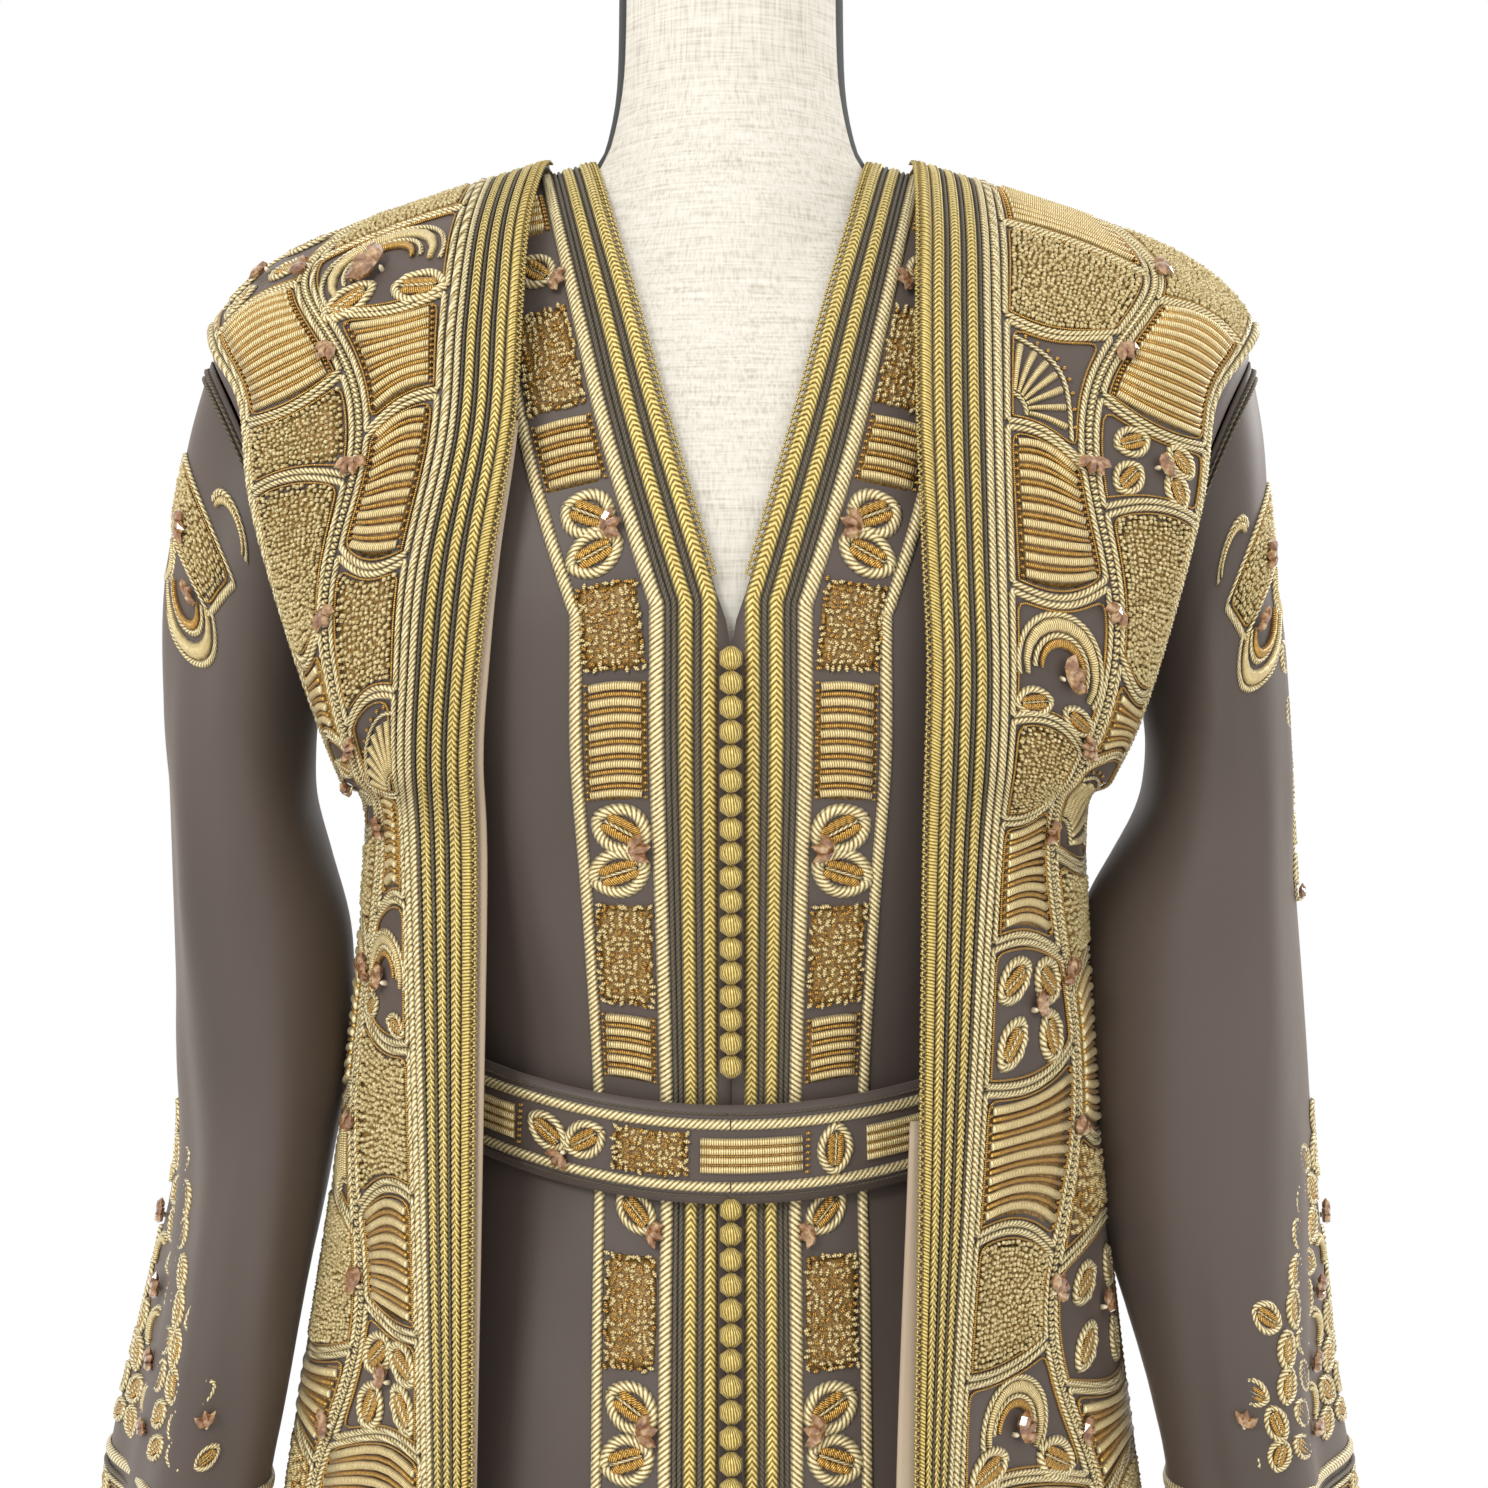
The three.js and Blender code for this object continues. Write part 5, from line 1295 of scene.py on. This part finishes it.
NAPES = (
    ("dress", dress, 65, [(1, 5.3, BRAID), (6, 8, DARK), (8.6, 13.4, BRAID), (14.4, 18.6, ROPE)]),
    ("robe", robe, 84, [(1, 5.5, BRAID), (6, 8, DARK), (8.6, 13.2, BRAID), (14, 19, ROPE)]),
)
for garment, layer, half, cords in NAPES:
    work = Work()
    around = np.arange(2, math.pi * half - 2, 1.3)
    for low, high, look in cords:
        work.ribbon(stack(around, (low + high) / 2), high - low, 1.6, look, pitch=2.6, slant=4.0,
                    plait=look is BRAID, spread=6 if look is BRAID else 4, relief=0.4)
    piece = work.build(f"{garment}_nape_braids", nape_place(layer, half))
    finish_piece(piece, "gold", f"{garment}_braid_neck")


# Armhole seams and cuffs of the sleeves, and their motifs

def sleeve_work(side):
    """A knot field and crescents on the upper arm with leaves below, and leaves, crescents
    and florets that spread from the outer line down to the cuff."""
    work = Work()
    up, behind = (14, 30) if side == LEFT else (0, 0)
    upper = patch([(4, 1252 + up), (64, 1246 + up), (72, 1280 + up), (14, 1288 + up)])
    outline(work, upper)
    knots(work, upper)
    for a, z, radius, start, end, width, look in (
            (46, 1236, 19, -2.9, 0.7, 7.0, BAR), (46, 1238, 11, -3.0, 0.6, 4.5, BULLION),
            (16, 1240, 12, -2.6, 0.9, 5.0, BAR), (60, 1292, 9, 0.2, 3.2, 4.0, BAR)):
        crescent(work, (a, z + up), radius, start, end, width, look)
    floret(work, (32, 1262 + up), 7.0, 3, 0.4)
    floret(work, (50, 1240 + up), 6.0, 3, 1.4)
    for a, z, angle, size in (
            (8, 1216, 1.9, 18), (24, 1208, 1.2, 17), (8, 1192, 2.2, 17), (22, 1182, 1.3, 16),
            (8, 1162, 1.9, 16), (19, 1146, 1.3, 16), (8, 1126, 1.8, 15), (14, 1108, 1.5, 14)):
        leaf(work, (a - behind, z), angle, size, size * 0.66)
    floret(work, (12 - behind, 1094), 5.5, 2, 1.3)
    stem = stack(14 - behind + 2.5 * np.sin(np.arange(130) / 12), np.arange(1094, 1224, 1.0))
    work.ribbon(stem, 1.8, 1.2, **THIN_ROPE)
    for k, z in enumerate(np.arange(992.0, 838.0, -15.5)):
        deep = 992 - z
        for j, a in enumerate(np.arange(-0.18 * deep, 14 + 0.6 * deep, 18.0)):
            x = a + 7 * (k % 2) + rng.uniform(-2, 2)
            lean = 1.3 + 0.8 * math.sin(1.7 * k + 2.3 * j)
            kind = (2 * k + 3 * j) % 7
            if kind == 4:
                crescent(work, (x, z), 6.5, lean - 0.6, lean + 2.4, 4.2)
            elif kind == 6:
                floret(work, (x, z), 6.5, 3, lean)
            else:
                leaf(work, (x, z), lean, 16.5, 11.5)
    return work


def ring_fields(work, low, high, around, kinds):
    """Fields side by side round a cuff."""
    wide = around / len(kinds)
    for k, kind in enumerate(kinds):
        start = k * wide - around / 2
        at = patch([(start, low), (start + wide, low), (start + wide, high), (start, high)])
        outline(work, at)
        coarser = {"gap": 6.5} if kind in ("ladder", "basket") else {}
        FILLS[kind](work, at, **coarser)


CUFF_LOW, CUFF_HIGH = 751, 833

for word, side in SIDES:
    piece = sleeve_work(side).build(f"sleeve_embroidery_{word}", sleeve_place(side), side == RIGHT)
    finish_piece(piece, "embroidered")

    work = Work()
    around = 2 * math.pi * sleeve_radius(10.5)
    ring = np.linspace(-around / 2, around / 2, 150)
    for height, width, look in ((CUFF_HIGH, 4.5, ROPE), (CUFF_LOW, 4.5, ROPE),
                                (CUFF_HIGH - 6, 3.0, DARK), (CUFF_LOW + 6, 3.0, DARK)):
        work.ribbon(stack(ring, height), width, 1.8, look, spread=4)
    kinds = ["ladder", "sprig", "basket", "fan", "ladder", "sprig"]
    ring_fields(work, CUFF_LOW + 9, CUFF_HIGH - 9, around, kinds)
    piece = work.build(f"cuff_embroidery_{word}", sleeve_place(side), side == RIGHT)
    finish_piece(piece, "embroidered", f"cuff_band_{word}")

    work = Work()
    turns = np.linspace(-math.pi, math.pi, 420)
    for t in (0.19, 0.28):
        path = stack(turns * sleeve_radius(t), np.interp(t, SLEEVE_RINGS, SLEEVE["outZ"]))
        work.ribbon(path, 2.8, 1.8, DARK, pitch=2.2, slant=2.0, relief=0.3, spread=4)
    piece = work.build(f"armhole_seam_cord_{word}", sleeve_place(side), side == RIGHT)
    finish_piece(piece, "cord", f"armhole_braid_{word}")


# Belt
BELT_CENTRE = 993        # height of its middle in front
BELT_RISE = 26           # how much higher it sits behind
BELT_HEIGHT = 41
BELT_LIFT = 5.1          # gap to the panels, which the ropes of the bands fill
BELT_WALL = 2.6


def belt_line(turn, v):
    """A ring of the dress at a height that is lowest in front; turn starts at the right."""
    face_back = np.sin(turn) > 0
    side = np.where(np.cos(turn) < 0, LEFT, RIGHT)
    phi = np.arccos(np.clip(np.abs(np.sin(turn)), 0, 1))
    z = BELT_CENTRE + BELT_RISE * np.where(face_back, 1, np.sin(phi) ** 2) + BELT_HEIGHT * (v - 0.5)
    ts = dress.ts
    heights = row_at(DRESS, ts)
    front = dress.point(np.interp(z, heights["zFront"], ts), phi, side, FRONT)
    back = dress.point(np.interp(z, heights["zBack"], ts), phi, side, BACK)
    point = np.where(face_back[..., None], back, front)
    point[..., 1] -= np.where(face_back, BACK, FRONT) * GAP / 2
    point[..., 2] = z
    return point


def belt_normal(turn, v):
    ahead = belt_line(turn + 0.01, v) - belt_line(turn - 0.01, v)
    return unit(stack(ahead[..., 1], -ahead[..., 0], 0.0))


def belt_swell(v):
    """How far its middle stands out past its edges."""
    return 1.5 * np.sin(np.pi * np.clip(v, 0, 1))


turns = np.linspace(-QUARTER, 3 * QUARTER, 721)
middle = np.full(len(turns), 0.5)
ring = belt_line(turns, middle) + belt_normal(turns, middle) * (BELT_LIFT + BELT_WALL)
BELT_ARC = travelled(ring)
BELT_AROUND = BELT_ARC[-1]


def belt_place(points):
    """Lays (mm round from the middle of the front, mm above the lower edge, lift)."""
    turn = np.interp(np.mod(points[..., 0], BELT_AROUND), BELT_ARC, turns)
    v = points[..., 1] / BELT_HEIGHT
    lift = BELT_LIFT + BELT_WALL + belt_swell(v) + points[..., 2]
    return belt_line(turn, v) + belt_normal(turn, v) * lift[..., None]


rows, columns = 9, 180
turn = np.linspace(0, 2 * np.pi, columns + 1)[:-1][None, :] * np.ones((rows, 1))
v = np.linspace(0, 1, rows)[:, None] * np.ones((1, columns))
skin = belt_line(turn, v)
out = belt_normal(turn, v)
outer = skin + out * (BELT_LIFT + BELT_WALL + belt_swell(v)[..., None])
piece = shell("belt_band", outer, skin + out * (BELT_LIFT + 0.2), SATIN, wrapped=True)
finish_piece(piece, "embroidered", "belt")

work = Work()
around = np.arange(0, BELT_AROUND, 0.8)
for height in (7.0, 33.0):
    work.ribbon(stack(around, height), 4.6, 1.8, ROPE, pitch=2.4, slant=3.0, relief=0.45, spread=5)
for height in (3.2, 37.4):
    work.ribbon(stack(around[::4], height), 1.0, 0.7, DARK, spread=3)
BELT_FIELDS = [("long", 58), ("leaves", 40), ("basket", 36), ("long", 50), ("leaf", 20)]
start = -150.0
k = 0
while start < BELT_AROUND - 175:
    kind, wide = BELT_FIELDS[k % len(BELT_FIELDS)]
    at = patch([(start + 1, 10), (start + wide - 1, 10), (start + wide - 1, 30), (start + 1, 30)])
    if kind == "long":
        for row in range(4):
            share = 0.12 + 0.76 * (row + 0.5) / 4
            line = at(np.linspace(0.05, 0.93, 9), np.full(9, share))
            work.ribbon(line, 3.6, 1.9, BAR, spread=5)
            if row:
                line = at(np.linspace(0.05, 0.93, 9), np.full(9, share - 0.095))
                work.ribbon(line, 1.2, 1.2, BULLION, spread=3)
        ends = np.linspace(0.1, 0.9, 7)
        work.beads(at(0.97 + 0.02 * ends, ends), 2.4, 1.8, 1.6, 0.0, BULLION)
    elif kind == "basket":
        basket(work, at, gap=2.7, off=0.5)
    elif kind == "leaves":
        leaf(work, at(0.28, 0.5), -0.5, 19, 13)
        leaf(work, at(0.74, 0.52), 0.6, 19, 13)
        floret(work, at(0.5, 0.16), 6.0, 3, 4.1)
    else:
        leaf(work, at(0.5, 0.5), 1.5, 20, 13)
    start += wide
    k += 1
finish_piece(work.build("belt_embroidery", belt_place), "embroidered")


# Buttons: knotted balls. Round each one run four raised strands that cross, as
# radius * (0.84 + 0.17 |sin(2 turn + 3 tilt) sin(2 turn - 3 tilt)|^0.6).
def button_row(name, node, top, bottom, pitch=10, radius=5.2):
    heights = top - pitch * np.arange(int((top - bottom) / pitch) + 1)
    run = dress.run_at(heights)
    line = dress.by_x(RIGHT)(stack(0.0, run, 0.0))
    centres = stack(0.0, line[:, 1] - 0.5 - radius, heights)
    rows, columns = 10, 14
    tilt = np.linspace(-1.5, 1.5, rows)[:, None]
    turn = (2 * np.pi * np.arange(columns) / columns)[None, :]
    knot = np.abs(np.sin(2 * turn + 3 * tilt) * np.sin(2 * turn - 3 * tilt)) ** 0.6
    size = radius * (0.84 + 0.17 * knot)
    ball = stack(size * np.cos(tilt) * np.cos(turn), size * np.cos(tilt) * np.sin(turn),
                 size * 1.02 * np.sin(tilt))
    points = centres[:, None, None, :] + ball[None]
    uv = stack(turn * radius, tilt / np.pi)
    uvs = np.broadcast_to(uv, (len(heights),) + uv.shape)
    faces = [grid_faces(rows, columns, wrapped=True, first=k * rows * columns)
             for k in range(len(heights))]
    firsts = (np.arange(len(heights)) * rows * columns)[:, None]
    faces.append(firsts + np.arange(columns)[None, ::-1])
    faces.append(firsts + (rows - 1) * columns + np.arange(columns)[None, :])
    piece = make(name, points, faces, [CROCHET], uvs=uvs.reshape(-1, 2))
    return finish_piece(piece, "gold", node)


button_row("knotted_buttons_upper", "buttons_upper", 1200, 1023.5)
button_row("knotted_buttons_lower", "buttons_lower", 970, 560)


# Dress form

def form_body():
    """Torso and neck joined and smoothed into one covered body."""
    t = np.linspace(0, 10.75, 110)
    quarter = np.linspace(0, QUARTER, 17)
    turn = np.concatenate([quarter, quarter[1:] + QUARTER, quarter[1:] + 2 * QUARTER,
                           quarter[1:-1] + 3 * QUARTER])
    back = np.sin(turn) > 1e-9
    side = np.where(np.cos(turn) < 0, LEFT, RIGHT)[None, :]
    phi = np.arcsin(np.clip(np.abs(np.cos(turn)), 0, 1))[None, :] * np.ones((len(t), 1))
    t = t[:, None] * np.ones((1, len(turn)))
    body = np.where(back[None, :, None], torso.point(t, phi, side, BACK),
                    torso.point(t, phi, side, FRONT))
    body[..., 1] -= np.where(back, BACK, FRONT)[None, :] * GAP / 2
    body[:, np.abs(np.sin(turn)) < 1e-9, 1] = 0
    row = row_at(NECK, np.linspace(0, 7, 60)[:, None], ridge=False)
    sweep = (2 * np.pi * np.arange(64) / 64)[None, :]
    deep = np.where(np.sin(sweep) < 0, row["front"], row["back"])
    collar = stack(row["half"] * np.cos(sweep), deep * np.sin(sweep), row["z"])
    points, faces = [], []
    count = 0
    for grid in (body, collar):
        rows, columns = grid.shape[:2]
        faces.append(grid_faces(rows, columns, wrapped=True, first=count))
        rim = np.arange(columns) + count
        faces.append(rim[::-1][None, :])
        faces.append((rim + (rows - 1) * columns)[None, :])
        points.append(grid.reshape(-1, 3))
        count += rows * columns
    piece = make("linen_form_body", np.concatenate(points), faces, [CANVAS])
    remesh = piece.modifiers.new("join", "REMESH")
    remesh.mode = "VOXEL"
    remesh.voxel_size = 0.008
    ease = piece.modifiers.new("ease", "SMOOTH")
    ease.iterations = 6
    bpy.context.view_layer.update()
    baked = bpy.data.meshes.new_from_object(piece.evaluated_get(bpy.context.evaluated_depsgraph_get()))
    piece.modifiers.clear()
    piece.data = baked
    baked.polygons.foreach_set("use_smooth", np.full(len(baked.polygons), True))
    return finish_piece(piece, "canvas", "form_body")


form_body()
for node, look in (("form_cap", CAP), ("form_pole", STEEL), ("form_base", STEEL)):
    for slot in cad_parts[node].material_slots:
        slot.material = look


# Floor, light and camera

FLOOR_HALF = 2.3
corners = FLOOR_HALF * np.array([(-1, -1, 0), (1, -1, 0), (1, 1, 0), (-1, 1, 0)]) / MM
floor = make("studio_floor", corners, [np.array([[0, 1, 2, 3]])], [FLOOR], shade=False)

world = bpy.data.worlds.new("pale_studio")
world.use_nodes = True
plug(world.node_tree, world.node_tree.nodes["Background"], {"Color": (1, 1, 1, 1), "Strength": 1.0})
bpy.context.scene.world = world
bpy.context.scene.view_settings.view_transform = "Standard"


def soft_light(name, place, target, size, power):
    """A square area light that faces a target."""
    lamp = bpy.data.lights.new(name, "AREA")
    lamp.energy = power
    lamp.size = size
    light = bpy.data.objects.new(name, lamp)
    light.location = place
    away = np.array(target) - np.array(place)
    flat = math.hypot(away[0], away[1])
    light.rotation_euler = (math.atan2(flat, -away[2]), 0, math.atan2(-away[0], away[1]))
    bpy.context.collection.objects.link(light)


soft_light("key", (-1.3, -2.2, 2.5), (0, 0, 1.15), size=0.8, power=30)
soft_light("fill", (1.7, -1.9, 1.5), (0, 0, 1.1), size=1.6, power=4)
soft_light("back", (2.0, 1.3, 2.2), (0, 0, 0.9), size=0.8, power=24)

# The camera stands 1 m in front of the garment's front plane, which is at Y -0.130.
HALF_WIDTH = 0.30504                       # at 1 m: half of 1488 pixels of 0.41 mm
EYE = (0, -1.130, 1.165)
camera = bpy.data.cameras.new("camera")
camera.sensor_fit = "HORIZONTAL"
camera.angle = 2 * math.atan(HALF_WIDTH)
camera.shift_x = 0.0087
viewer = bpy.data.objects.new("camera", camera)
viewer.location = EYE
viewer.rotation_euler = (QUARTER, 0, 0)
bpy.context.collection.objects.link(viewer)
bpy.context.scene.camera = viewer
